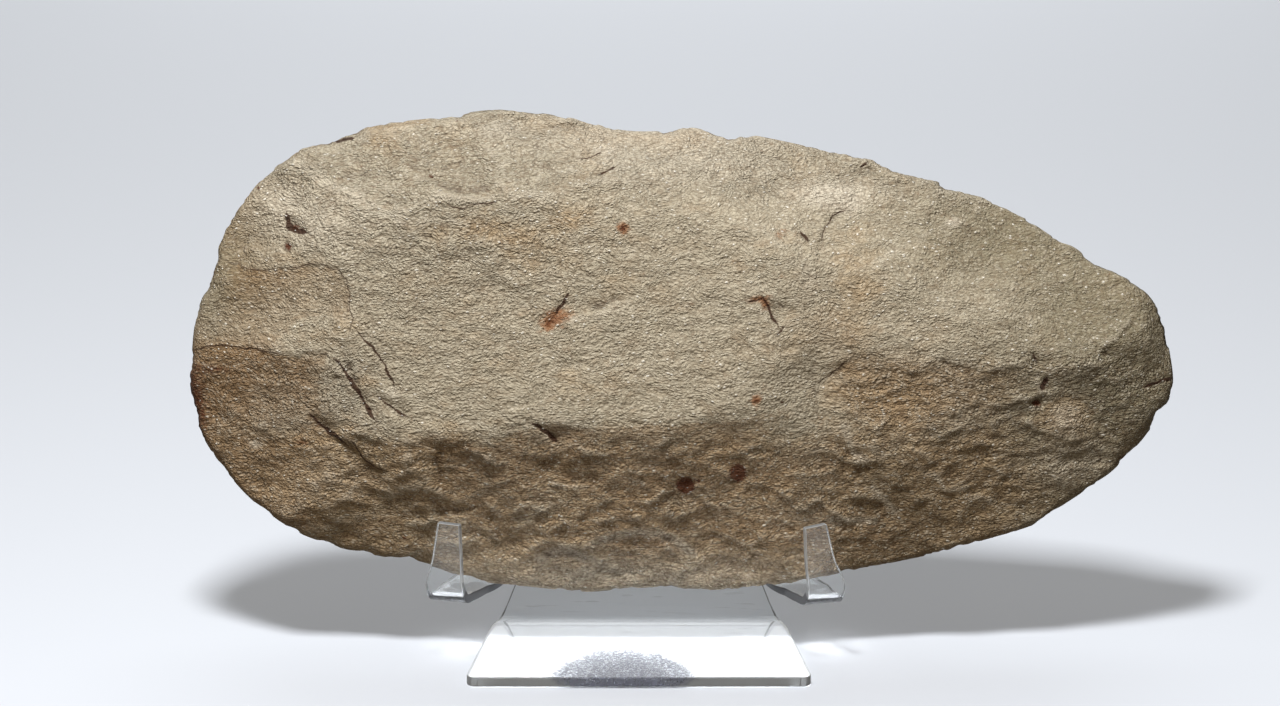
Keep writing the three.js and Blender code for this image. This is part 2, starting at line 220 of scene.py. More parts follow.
# %% Scars of the front
FRONT_FLAKES = [  # start, run in degrees, height, rise, hollow; some have reach, wall, worn wall
    # round the broad left end
    (-86, -9, 4, 1.4, 0.42, 0.012, 30), (-85, 8, 0, 1.4, 0.43, 0.014, 28),
    (-80, 21.5, 335, 1, 0.52, 0.008), (-70, 33, 308, 1.4, 0.58, 0.007),
    # along the top edge, where short ones end in steps
    (-56, 39, 285, 1.2, 0.66, 0.008, 15), (-41, 41, 275, 1, 0.78, 0.022, 12),
    (-28, 42, 268, 1.2, 0.86, 0.012, 13), (-13, 39, 262, 1, 1.1, 0.02, 9),
    (6, 38, 268, 1.2, 0.92, 0.008), (24, 35.2, 262, 1.2, 0.8, 0.01),
    # the upper right, where one long shallow scar ends in a step near the middle
    (66, 10, 178, 8.6, 0.1, 0.006, 42, 0.55, 0.2), (40, 31, 255, 1.2, 0.56, 0.006),
    (56, 25.5, 245, 1.4, 0.46, 0.008), (71, 16.5, 232, 1.2, 0.44, 0.009),
    # round the narrow right end
    (85, 3, 197, 0.8, 1.2, 0.004), (85.5, -9, 168, 1.2, 0.48, 0.01), (76, -21, 135, 1.4, 0.4, 0.008),
    # along the bottom edge, with the rough scar above them on the right
    (24, -12, 0, 11.6, -0.07, 0.011, 38, 0.6, 0.4), (59, -31.6, 114, 1.4, 0.36, 0.006),
    (37, -37.5, 100, 1.2, 0.38, 0.005), (10, -41.8, 93, 1.4, 0.45, 0.004),
    (-18, -42.4, 90, 1.2, 0.46, 0.005), (-41, -39, 82, 1.4, 0.52, 0.007),
    (-60, -34.6, 72, 1.2, 0.5, 0.008), (-77, -24.5, 40, 1.4, 0.47, 0.01),
]
STEP_STEEPNESS = 1.6  # of a wall that has no steepness of its own

# %% Scars of the back: evenly round the rim, each a little different
BACK_COUNT = 15
BACK_FLAKES = []
for k in range(BACK_COUNT):
    rim_u, rim_v = rim_points[int(round(k / BACK_COUNT * len(rim_points))) % len(rim_points)]
    run = math.degrees(math.atan2(-0.9 * rim_v, -0.35 * rim_u)) + 14 * math.sin(2.4 * k)
    rise = 0.52 + 0.12 * math.sin(1.7 * k + 1)
    hollow = 0.007 + 0.003 * math.sin(3.1 * k)
    BACK_FLAKES.append((rim_u, rim_v, run, 1.2, rise, hollow))
print("scars:", len(FRONT_FLAKES), "in front,", len(BACK_FLAKES), "behind")


# %% The height of a face
def flake_floor(flake, u, v, worn):
    """Start height, plus rise along the run, plus hollow times the distance aside, squared. A
    flake with a reach ends in a wall, and two of the walls are gentler where ridges are worn."""
    start_u, start_v, run, height, rise, hollow, *end = flake
    run = math.radians(run)
    du, dv = u - start_u, v - start_v
    along = du * math.cos(run) + dv * math.sin(run)
    aside = dv * math.cos(run) - du * math.sin(run)
    floor = height + rise * along + hollow * aside**2
    if end:
        reach, wall, worn_wall = (end + [STEP_STEEPNESS] * 2)[:3]
        steep = worn_wall if worn else wall
        floor += steep * np.maximum(np.maximum(along - reach, -along), 0)
    return floor


def wobble(u, v):
    """Slow waves that keep the ridges between scars from running straight."""
    return (
        u + 1.2 * np.sin(0.16 * v + 0.07 * u + 1) + 0.5 * np.sin(0.41 * v - 0.2 * u),
        v + 1.0 * np.sin(0.13 * u - 0.09 * v + 2) + 0.4 * np.sin(0.37 * u + 0.3 * v),
    )


def outward_share(u, v):
    """0 in the middle of the face and 1 on the outline."""
    x, y = round_plane(u, v)
    return np.hypot(x, y) / plain_reach(np.arctan2(y, x))


def rim_wander(u, v):
    """The edge isn't flat: it winds a little to the front and back as it goes round."""
    x, y = round_plane(u, v)
    angle = np.arctan2(y, x)
    return 0.9 * np.sin(3 * angle + 1) + 0.5 * np.sin(7 * angle)


WORN = 0.35  # mm, how far a ridge is worn down where two floors meet
FLAT_SHARE = 0.975  # how high the old flat lies, as a share of the depth
FRONT_TILT, BACK_TILT = 0.08, 0.02  # how much lower the flat lies with each mm further up


def face_height(u, v, flakes, tilt, worn=WORN):
    """The soft lowest of a dome, a tilted flat and every scar's floor."""
    share = np.minimum(outward_share(u, v), 1)
    dome = CELT_DEPTH * (1 - share**3) ** 0.6
    flat = FLAT_SHARE * CELT_DEPTH - tilt * v
    wu, wv = wobble(u, v)
    floors = np.stack([dome, flat] + [flake_floor(f, wu, wv, worn) for f in flakes])
    lowest = floors.min(axis=0)
    if worn:
        lowest = lowest - worn * np.log(np.exp(-(floors - lowest) / worn).sum(axis=0))
    return np.maximum(lowest, 0)


test_height = face_height(test_u, test_v, FRONT_FLAKES, FRONT_TILT)
print("the front's greatest height in mm:", test_height.max().round(2))

# %% [markdown]
# ## Where the celt stands
#
# The solid of the celt was made from the same formulas on a coarse grid. Its grid is worked out
# again here and stood up, and the shift that brings its box onto the solid's box is the shift
# for the fine stone too.


# %% Stand the stone up
def square_to_disk(s, t):
    """Shirley's map: rings of a square become rings of a disk, with no crowding in the middle."""
    wide = np.abs(s) > np.abs(t)
    radius = np.where(wide, s, t)
    with np.errstate(divide="ignore", invalid="ignore"):
        angle = np.where(wide, np.pi / 4 * t / s, np.pi / 2 - np.pi / 4 * s / t)
    angle = np.where(radius == 0, 0, angle)
    return radius * np.cos(angle), radius * np.sin(angle)


def face_grid(along, across, reach):
    """The places (u, v) of a grid laid over the outline, with each place's ring from 0 to 1."""
    s, t = np.meshgrid(np.linspace(-1, 1, along + 1), np.linspace(1, -1, across + 1))
    x, y = square_to_disk(s, t)
    ring = np.minimum(np.hypot(x, y), 1)
    stretch = 1 + (reach(np.arctan2(y, x)) - 1) * ring**2
    return x * stretch * DRAWN_LENGTH / 2, y * stretch * DRAWN_WIDTH / 2, ring


LENGTH_SCALE, WIDTH_SCALE = CELT_LENGTH / DRAWN_LENGTH, CELT_WIDTH / DRAWN_WIDTH


def stand_up(u, v, w, shift=(0, 0, 0)):
    """Scales the drawn stone to its real size and turns it onto the stand's lean: v points up
    and w out to the front."""
    u, v = u * LENGTH_SCALE, v * WIDTH_SCALE
    turned = np.stack([u, v * LEAN_SIN - w * LEAN_COS, v * LEAN_COS + w * LEAN_SIN], axis=-1)
    return turned + np.array(shift)


SOLID_ALONG, SOLID_ACROSS = 62, 30  # the solid's own grid
coarse_u, coarse_v, coarse_ring = face_grid(SOLID_ALONG, SOLID_ACROSS, plain_reach)
middle = rim_wander(coarse_u, coarse_v) * np.minimum(outward_share(coarse_u, coarse_v), 1) ** 2
inside = coarse_ring < 1 - TINY
front = middle + inside * face_height(coarse_u, coarse_v, FRONT_FLAKES, FRONT_TILT, 0)
back = middle - inside * BACK_SHARE * face_height(coarse_u, coarse_v, BACK_FLAKES, BACK_TILT, 0)
coarse = np.concatenate([
    stand_up(coarse_u, coarse_v, front).reshape(-1, 3),
    stand_up(coarse_u, coarse_v, back).reshape(-1, 3),
])
SHIFT = CELT_LOW - coarse.min(axis=0)
print("shift in mm:", np.round(SHIFT, 2))
print("left over in mm:", np.round(coarse.max(axis=0) + SHIFT - CELT_HIGH, 3))

# %% [markdown]
# ## Fine relief
#
# The scars alone look like soft clay. What makes them stone is the breakage on them: ledges
# where thin layers snapped off, ripples that spread from each blow, pits, gouges and cracks.
# Each is one formula of the distance to a point or to a drawn line.


# %% Distance to a drawn line
def path_distance(u, v, path):
    """Nearest distance to a line of straight stretches, the side of it (left is positive), and
    how far along the whole line the nearest place lies, from 0 to 1."""
    points = np.array(path, float)
    lengths = np.hypot(*np.diff(points, axis=0).T)
    run_to = np.concatenate([[0], np.cumsum(lengths)])
    best = np.full(u.shape, FAR)
    side, along = np.zeros_like(best), np.zeros_like(best)
    for k, length in enumerate(lengths):
        tangent = (points[k + 1] - points[k]) / length
        du, dv = u - points[k][0], v - points[k][1]
        on = np.clip(du * tangent[0] + dv * tangent[1], 0, length)
        off_u, off_v = du - on * tangent[0], dv - on * tangent[1]
        away = np.hypot(off_u, off_v)
        nearer = away < best
        best = np.where(nearer, away, best)
        side = np.where(nearer, np.sign(tangent[0] * off_v - tangent[1] * off_u), side)
        along = np.where(nearer, (run_to[k] + on) / run_to[-1], along)
    return best, side, along


def ends_fade(along):
    """1 along most of a line and 0 at both its ends."""
    return ramp(along, 0, 0.12) * ramp(1 - along, 0, 0.12)


test_away = path_distance(test_u, test_v, [(-60, 0), (60, 0)])[0]
print("farthest from a test line in mm:", test_away.max().round(1))


# %% Grooves, ledges, pits and ripples
BAND_EDGE = [
    (-50, -12.5), (-46, -14.2), (-43, -13), (-40, -14), (-37, -14.5), (-35, -15.6), (-33, -15.4),
    (-30.5, -13.8), (-29, -12.8), (-26.5, -12), (-24, -11.2), (-18, -12), (-10, -11.6), (0, -11),
    (5, -11), (10, -10.5), (15, -9.5), (20, -8.2),
]
LEFT_EDGE = [
    (-86, 0), (-84, 0.5), (-80, 1.3), (-77, 1.1), (-73, 0.6), (-70, 0), (-66.5, -0.3),
    (-64.5, 0.7), (-61, 0.9), (-59.5, 0),
]
SCAR_EDGE = [
    (-80, 16), (-74, 14.4), (-68, 15), (-63, 15.8), (-59.4, 15), (-57.8, 13), (-57.4, 10), (-57, 7),
    (-57.6, 3.5),
]
BROWN_EDGE = [
    (22, -5.5), (24, -4.5), (26, -3), (28, -1), (34, 1.5), (38, 2), (43, 0), (50, -2), (54, -2.8),
    (58, -2.2), (61, 0), (66, 0), (70, 0),
]
ARCS = [
    [(-15.3, -33.2), (-11, -31.7), (-7.2, -31), (-4, -31.5), (-1, -32.7), (1.6, -34.9)],
    [(-24.6, -36), (-20.8, -34.3), (-18, -35.4), (-14.7, -37.1)],
    [(-18.6, -39.8), (-16.2, -38.4), (-13.6, -37.9), (-9.8, -39.2), (-8.2, -40.9)],
]
GROOVES = [  # path, depth, half a width
    ([(-59, 1.3), (-58.3, -0.5), (-57, -3.7), (-56, -6.4), (-54.8, -8.3), (-52.6, -11.3)], 0.5, 0.8),
    ([(-55.9, 4.3), (-53.3, 1.5), (-51.6, -0.8), (-49.7, -5.2)], 0.2, 0.4),
    ([(-53, -6.8), (-51, -8), (-49.3, -9.3), (-47.3, -10.5)], 0.4, 0.8),
    ([(-64.8, -9.8), (-63, -12), (-60.5, -13.8), (-58.2, -15)], 0.8, 1.2),
    ([(-25.6, -11.2), (-23.7, -12.6), (-22.3, -13.8), (-21, -14.9)], 0.5, 0.7),
    ([(-19.5, 10.8), (-20.6, 9), (-22, 7.2), (-23.6, 5.2)], 0.5, 0.45),
    ([(11, 9.7), (12.8, 9.9), (14.3, 10.4)], 0.3, 0.5),
    ([(14.3, 10.4), (14.7, 8.6), (15.2, 7.5), (16.5, 5.8)], 0.4, 0.7),
    ([(63.2, -4.2), (62.8, -5.8)], 0.6, 0.6),
    ([(62.4, -8), (61, -8.8)], 0.4, 0.6),
    ([(81, -6.1), (83, -5.5), (85.9, -4.8)], 0.8, 0.4),
    ([(-42, -16.3), (-42.4, -18.5), (-42, -22.3)], 0.5, 0.7),
    ([(-40.5, 26), (-38, 25.6), (-36, 26.4), (-31, 27)], 0.25, 0.8),
    ([(-14, 31.2), (-12.8, 31.9), (-11.4, 32.7)], 0.4, 0.6),
    ([(-18, 34), (-15.8, 34.3), (-13.6, 35)], 0.25, 0.6),
    ([(28.5, 25.3), (26, 24), (25, 22), (24.3, 20.3)], 0.3, 0.6),
    ([(16, 22), (17.6, 21), (18.6, 20.4)], 0.4, 0.8),
    ([(20.3, 21.6), (21.7, 20)], 0.4, 0.6),
    ([(28, -1), (26, -3), (24, -4.5)], 0.3, 0.7),
    ([(61, 0.2), (61.5, -1.5)], 0.5, 0.4),
]
LEDGES = [  # path with its lower side on the right, drop, how far the drop fades out
    (LEFT_EDGE, 0.45, 8),
    (SCAR_EDGE, 0.45, 9),
    ([(-62, -13.6), (-59, -14.8), (-56, -16.3), (-54.8, -18.3), (-53.4, -19.6), (-50.8, -20.3)],
     0.5, 5),
    (BROWN_EDGE, 0.3, 6),
    ([(23.2, 12), (23.3, 19), (24.3, 20.3), (25, 22), (26, 24), (28.5, 25.3), (31, 26)], 0.35, 4),
    ([(-20.5, 6.2), (-18, 7), (-14, 8.3), (-10.3, 9.8), (-8, 10.6)], -0.55, 5),
    ([(-48.5, 37), (-48, 34), (-46, 31.5), (-43, 30), (-38.5, 30), (-35, 31)], -0.25, 6),
    ([(42, 24.5), (45, 24.4), (48, 25.6), (52, 25.5)], 0.5, 5),
    *((arc, 0.35, 4) for arc in ARCS),
    ([(14.4, 10.2), (16.2, 9.4), (18, 9.2), (20, 8.4)], 0.4, 4),
    ([(72, -0.6), (75.5, 2.5), (77, 4), (78.5, 5.5), (79.8, 7.5), (80, 10), (79, 13.5)], 1.1, 9),
]
ARRISES = [  # path of a sharp edge between two slopes, height, how far it spreads
    (BAND_EDGE, 0.6, 5),
    ([(79.3, 12.5), (80, 10), (79.8, 7.5), (78.5, 5.5), (77, 4), (75.5, 2.5), (73, 0.4)], 0.8, 3),
    ([(-70, 29), (-60, 27), (-52, 30), (-49, 34)], 0.35, 3),
]
PITS = [  # place, half sizes along u and v, depth; a negative depth is a swelling
    (-67, 22.2, 1.7, 1.5, 1.3), (-68.3, 18.7, 0.9, 1.1, 0.9), (61.7, -8.5, 1.0, 0.7, 0.5),
    (77.8, -19.2, 1.6, 1.8, 1.2), (-20.5, -13, 3.6, 1.8, 0.9), (-14.5, 9.6, 4.2, 1.1, 0.5),
    (16.8, 8, 1.6, 2.2, 0.5), (17.5, 1.5, 1.6, 1.2, 0.4), (0.7, -22.6, 1.1, 1.3, 0.35),
    (9.8, -20.4, 1.1, 1.4, 0.35), (-37, 17, 3.5, 2.2, 0.35), (-33, 12, 3.5, 1.8, 0.3),
    (-18, -21, 3, 2, 0.5), (-23, -19.5, 2.6, 1.8, 0.5), (-30, -33.5, 3.2, 1.8, 0.6),
    (52.5, 18.5, 3, 1.8, 0.5), (50, 20.5, 1.6, 1.2, 0.4), (-58.5, 4, 1.8, 2.6, -0.5),
    (26.5, 27.2, 2.6, 1.6, -0.4), (83, -11, 1.8, 2.4, 0.8), (-40, 36, 5, 4, 0.25),
    (-42, -14, 1.2, 0.7, -0.35), (47.5, 22.6, 1.8, 0.9, -0.35), (-59.8, -30.3, 0.6, 0.6, 0.4),
    (-62, -28, 10, 6, -1.0), (67, -13.2, 4.4, 3.6, -1.5), (-40.5, -27.6, 2.8, 1.3, 0.6),
    (-33, -24, 7, 4, -0.5), (-8, -31, 20, 7, -0.5), (-48.5, -32.6, 0.7, 0.6, 0.5),
    (3, -21.8, 0.6, 0.5, 0.4), (-40, 31, 3, 1.2, -0.15),
]
RIPPLES = [  # centre of the blow, direction in degrees, spacing, height, reach
    (-22, -43.5, 90, 3.4, 0.22, 14), (-10, -43.2, 92, 3.0, 0.2, 13), (8, -43, 90, 4.2, 0.2, 16),
    (30, -40, 98, 4.0, 0.2, 15), (-40, -41, 80, 4.0, 0.22, 14), (-83, -12, 20, 4.5, 0.22, 20),
    (60, 24.5, 245, 4.5, 0.22, 18), (-44, 42.5, 275, 3.0, 0.2, 12), (56, -34, 112, 4.5, 0.2, 16),
    (84, -14, 160, 3.0, 0.22, 12), (-66, -34, 65, 4.0, 0.2, 14),
]


def named_relief(u, v):
    """Adds up every named groove, ledge, pit and ripple, as heights in millimetres."""
    ragged_u, ragged_v = ragged(u, v, 0.45, 3.2, 60, 70)
    height = np.zeros_like(u)
    for path, depth, half in GROOVES:
        away, _, along = path_distance(ragged_u, ragged_v, path)
        height -= depth * np.exp(-((away / half) ** 2)) * (0.35 + 0.65 * ends_fade(along))
    for path, drop, fade in LEDGES:
        away, side, along = path_distance(ragged_u, ragged_v, path)
        lower = ramp(-side * away, -0.35, 0.35)
        height -= drop * lower * np.exp(-away / fade) * ends_fade(along)
    for path, rise, spread in ARRISES:
        away, _, along = path_distance(ragged_u, ragged_v, path)
        height += rise * np.exp(-away / spread) * ends_fade(along)
    for pit_u, pit_v, half_u, half_v, depth in PITS:
        away = np.hypot((ragged_u - pit_u) / half_u, (ragged_v - pit_v) / half_v)
        height -= depth * np.exp(-(away**2.5))
    for blow_u, blow_v, way, spacing, rise, reach in RIPPLES:
        du, dv = ragged_u - blow_u, ragged_v - blow_v
        away = np.hypot(du, dv)
        turn = np.arctan2(dv, du) - math.radians(way)
        facing = np.clip(np.cos(turn), 0, 1) ** 3
        height += rise * np.cos(2 * np.pi * away / spacing) * np.exp(-away / reach) * facing
    return height


print("grooves:", len(GROOVES), "ledges:", len(LEDGES), "pits:", len(PITS))


# %% Layered breakage and general roughness
def terraces(field, size, steepness):
    """Turns a smooth field into flat treads with steep risers: how far off the field they lie."""
    t = field / size
    tread = np.floor(t)
    part = t - tread
    riser = ramp(part, 0.5 - 0.5 / steepness, 0.5 + 0.5 / steepness)
    return (tread + riser - t) * size


def chips(x, y, size, seed):
    """Small bowls on a jittered lattice, each tilted its own way. The surface is the lowest of the
    nine nearest: tilt times the way from the bowl's middle, plus that way's length squared."""
    random = np.random.default_rng(seed)
    shift_x, shift_y = random.uniform(0.1, 0.9, (2, LATTICE, LATTICE))
    tilt_x, tilt_y = random.uniform(-0.7, 0.7, (2, LATTICE, LATTICE))
    x, y = x / size, y / size
    i, j = np.floor(x).astype(int), np.floor(y).astype(int)
    lowest = np.full(x.shape, FAR)
    for di in (-1, 0, 1):
        for dj in (-1, 0, 1):
            a, b = (i + di) % LATTICE, (j + dj) % LATTICE
            dx, dy = x - i - di - shift_x[a, b], y - j - dj - shift_y[a, b]
            bowl = tilt_x[a, b] * dx + tilt_y[a, b] * dy + dx * dx + dy * dy
            lowest = np.minimum(lowest, bowl)
    return (lowest - 0.05) * size


def rough_relief(u, v, base, seed, rough):
    """Long swells, ledges of thin layers and small chips. rough says where they are strong."""
    swell = 0.25 * fractal(u / 1.5, v, 14, 3, seed)
    field = base + 2.2 * fractal(u / 1.6, v, 12, 3, seed + 10, 0.5)
    layers = terraces(field, 1.0, 2.2) * (0.05 + 0.11 * rough)
    bent_u = u / 1.8 + 1.5 * fractal(u, v, 7, 3, seed + 20)
    bent_v = v + 1.5 * fractal(u, v, 7, 3, seed + 30)
    broken = 0.03 * chips(bent_u, bent_v, 4.5, seed + 40) * (0.15 + 0.85 * rough)
    crumbs = 0.36 * chips(bent_u, bent_v, 2.1, seed + 50) * (0.2 + 0.8 * rough)
    return swell + layers + broken + crumbs


def spot(u, v, place_u, place_v, half_u, half_v):
    """1 in the middle of a soft oval spot and 0 outside it."""
    return np.exp(-(((u - place_u) / half_u) ** 2 + ((v - place_v) / half_v) ** 2))


def spots(u, v, rows):
    """Adds up soft spots. A row is a place, half sizes along u and v, and a strength."""
    return sum(strength * spot(u, v, *where) for *where, strength in rows)


def rough_zones(u, v):
    """1 on the lower band, at the ends and in a few scars, and near 0 on the broad flat."""
    low = ramp(-v + 2.5 * noise(u / 9, v / 9, 80), 9, 17)
    right = ramp(u, 24, 34) * ramp(-v, -3, 3)
    left = ramp(-u, 50, 58) * ramp(-v, -2, 2)
    top = 0.8 * ramp(v + 3 * noise(u / 9, v / 9, 81), 24, 31)
    upper_left = 0.9 * spot(u, v, -42, 24, 26, 14)
    return np.clip(np.maximum.reduce([low, right, left, top, upper_left]), 0, 1)


print("rough share of the plane:", rough_zones(test_u, test_v).mean().round(2))


# %% [markdown]
# ## The stone's mesh
#
# One grid covers each side. Its outer ring lies on the nicked outline, where both grids share
# their points, so the stone is one closed skin with no seam to see. Heights fall to nothing at
# the rim, which winds from front to back as a knapped edge does.

# %% Heights of both sides
ALONG, ACROSS = 316, 156  # faces of each side's grid
RIM_RELIEF = 0.25  # how much of the relief is left at the rim
THINNEST = 0.05  # how far either side stays from the rim's own surface
u, v, ring = face_grid(ALONG, ACROSS, nicked_reach)
on_rim = ring > 1 - TINY
share = np.minimum(outward_share(u, v), 1)
rim_ease = 1 - share**8
rim_height = rim_wander(u, v) * share**2 + 0.45 * share**4 * fractal(u, v, 6, 3, 90)


def relieved(base, relief):
    """A side's height with its relief, which weakens towards the rim, in millimetres."""
    kept = RIM_RELIEF + (1 - RIM_RELIEF) * rim_ease
    return np.maximum(base + relief * kept, THINNEST)


base_front = face_height(u, v, FRONT_FLAKES, FRONT_TILT)
rough_front = rough_zones(u, v)
relief_front = named_relief(u, v) + rough_relief(u, v, base_front, 100, rough_front)
w_front = np.where(on_rim, rim_height, rim_height + relieved(base_front, relief_front))

base_back = face_height(u, v, BACK_FLAKES, BACK_TILT)
rough_back = np.clip(0.55 + 0.9 * fractal(u, v, 30, 2, 210), 0, 1)
relief_back = rough_relief(u, v, base_back, 200, rough_back)
height_back = BACK_SHARE * relieved(base_back, relief_back)
w_back = np.where(on_rim, rim_height, rim_height - height_back)
print("front swells to", w_front.max().round(2), "and the back to", (-w_back).max().round(2))


# %% Put both grids into one mesh
def add_object(name, data):
    """A new object that shows the data, at the origin and unturned."""
    thing = bpy.data.objects.new(name, data)
    bpy.context.collection.objects.link(thing)
    return thing


def grid_faces(rows, columns, turned):
    """Quads between neighbours of a grid; turned winds them the other way."""
    index = np.arange(rows * columns).reshape(rows, columns)
    a, b, c, d = index[:-1, :-1], index[1:, :-1], index[1:, 1:], index[:-1, 1:]
    order = (a, d, c, b) if turned else (a, b, c, d)
    return np.stack(order, axis=-1).reshape(-1, 4)


def build_mesh(name, points, faces, attributes=None):
    """A smooth mesh object at the origin, from points in metres and faces of four."""
    mesh = bpy.data.meshes.new(name)
    mesh.vertices.add(len(points))
    mesh.vertices.foreach_set("co", np.asarray(points, np.float32).ravel())
    mesh.loops.add(faces.size)
    mesh.loops.foreach_set("vertex_index", faces.astype(np.int32).ravel())
    mesh.polygons.add(len(faces))
    mesh.polygons.foreach_set("loop_start", np.arange(0, faces.size, 4, dtype=np.int32))
    mesh.update(calc_edges=True)
    for key, values in (attributes or {}).items():
        layer = mesh.attributes.new(key, "FLOAT", "POINT")
        layer.data.foreach_set("value", np.asarray(values, np.float32).ravel())
    mesh.validate()
    mesh.shade_smooth()
    return add_object(name, mesh)


def join_rim(front_values, back_values):
    """Both sides' values in one list, with the back's own rim left out."""
    return np.concatenate([front_values.reshape(-1), back_values.reshape(-1)[~on_rim.ravel()]])


count = u.size
back_index = np.arange(count)
back_index[~on_rim.ravel()] = count + np.arange((~on_rim).sum())
faces_front = grid_faces(ACROSS + 1, ALONG + 1, False)
faces_back = back_index[grid_faces(ACROSS + 1, ALONG + 1, True)]
places = MM * stand_up(join_rim(u, u), join_rim(v, v), join_rim(w_front, w_back), SHIFT)
print("points:", len(places), "triangles:", 2 * (len(faces_front) + len(faces_back)))


# %% [markdown]
# ## What the stone's colour follows
#
# The upper face is pale grey-beige, the lower band browner and darker, and both are warmer in
# places. Part of the darkness of the lower band, of both ends and of the strips below ledges is
# painted shade, and so is the darkening of hollows; ridges are made paler, and the bottom edge is
# painted lighter, as light from below. Each of these is worked out once per point and kept on the
# mesh as an attribute, which the material reads. The zones could be painted on a picture instead,
# but as formulas each stays one line that can be changed.


# %% Hollows, from the height against its own blur
def blur(field, passes):
    """Averages each place with its four neighbours, again and again."""
    for _ in range(passes):
        padded = np.pad(field, 1, mode="edge")
        field = 0.2 * (
            field + padded[:-2, 1:-1] + padded[2:, 1:-1] + padded[1:-1, :-2] + padded[1:-1, 2:]
        )
    return field


def hollowness(w):
    """Positive in cracks and hollows, negative on ridges, in millimetres."""
    fine = blur(w, passes=5) - w
    broad = blur(w, passes=40) - w
    return fine + 0.07 * broad


off_rim = 1 - share**20
hollow_front, hollow_back = hollowness(w_front) * off_rim, hollowness(-w_back) * off_rim
print("hollowness:", np.round(np.percentile(hollow_front, [1, 50, 99]), 3))


# %% Zones of brown and of grey-green, both of which also carry painted shade
ORANGE_PATCH = (67, -11, 4, 3.4)  # a light spot that neither of them covers


def brown_and_shade_zones(u, v):
    """The browner lower band and the scar on the right. Painted shade darkens the lower side of
    edges and arcs and the far left end, and a painted shadow lies on the left rim; the lower band
    is paler along the bottom edge, as painted light from below.
    """
    edge = 3.5 * fractal(u, v, 16, 3, 300)
    # the lower band's brown is partly its own colour and partly painted shade; it fades along the
    # bottom edge as painted light from below
    low = 0.38 * ramp(-v + edge, 9, 22) * (1 - 0.8 * spot(u, v, -12, -41, 32, 7))
    low *= 1 - 0.3 * ramp(-u, 10, 40) + 0.4 * ramp(u, 10, 30) * ramp(-u, -66, -54)
    right = 0.34 * ramp(u + edge, 24, 36) * ramp(-v, -1.5, 3)
    right *= (1 - 0.4 * ramp(-v + edge, 12, 20)) * (1 - 0.6 * ramp(u + edge, 50, 62))
    # painted shade below the left ridge and at the far left end, which turns from the light; the rim
    # spot is a painted shadow
    left = 0.5 * ramp(-u + edge, 56, 68) * ramp(-v + 0.4 * edge, -1.2, 1.5)
    far_left = 0.6 * ramp(-u + 0.5 * edge - 0.1 * v, 60, 80) * (0.35 + 0.65 * ramp(-v, -5, 1))
    rim = 1.4 * spot(u, v, -88, -11, 8, 15)
    patchy = 0.35 * fractal(u / 1.6, v, 9, 3, 310)
    total = np.maximum.reduce([low, right, left, far_left, rim]) * (1 + patchy)
    total += spots(u, v, [(27, 4, 9, 7, 0.35), (-79, 18, 9, 8, 0.35)])
    ragged_u, ragged_v = ragged(u, v, 0.5, 3, 311, 312)
    # painted shade on the lower side of each edge and arc, fading with the distance from it
    for path, depth, fade in (
        (BAND_EDGE, 0.5, 7), (LEFT_EDGE, 0.3, 9), (BROWN_EDGE, 0.2, 7), (SCAR_EDGE, 0.45, 14),
        *((arc, 0.4, 4) for arc in ARCS),
    ):
        away, side, along = path_distance(ragged_u, ragged_v, path)
        total += depth * ramp(-side * away, -0.2, 0.4) * np.exp(-away / fade) * ends_fade(along)
    return np.clip(total * (1 - 0.9 * spot(u, v, *ORANGE_PATCH)), 0, 1)


def olive_and_shade_zones(u, v):
    """Grey-green stone towards the narrow end, most of all beyond the last ridge there. It is partly
    painted shade where the face turns from the light: towards the narrow end, on the facet beyond
    that ridge, on the upper right and at the upper left end.
    """
    edge = 4 * fractal(u, v, 14, 3, 370)
    total = np.maximum.reduce([
        0.7 * ramp(u + edge, 40, 74),
        0.25 * ramp(u + edge, 16, 40) * ramp(-v + edge, 12, 24),
        # painted shade on the facet beyond the last ridge, which turns from the light
        0.8 * ramp(u + 0.1 * edge - 0.55 * v, 72.7, 73.7) * ramp(u, 68, 72),
        0.75 * spot(u, v, 58, 20, 20, 9),
        0.7 * spot(u, v, -82, 15, 8, 10),
    ])
    return np.clip(total * (1 - 0.9 * spot(u, v, *ORANGE_PATCH)), 0, 1)


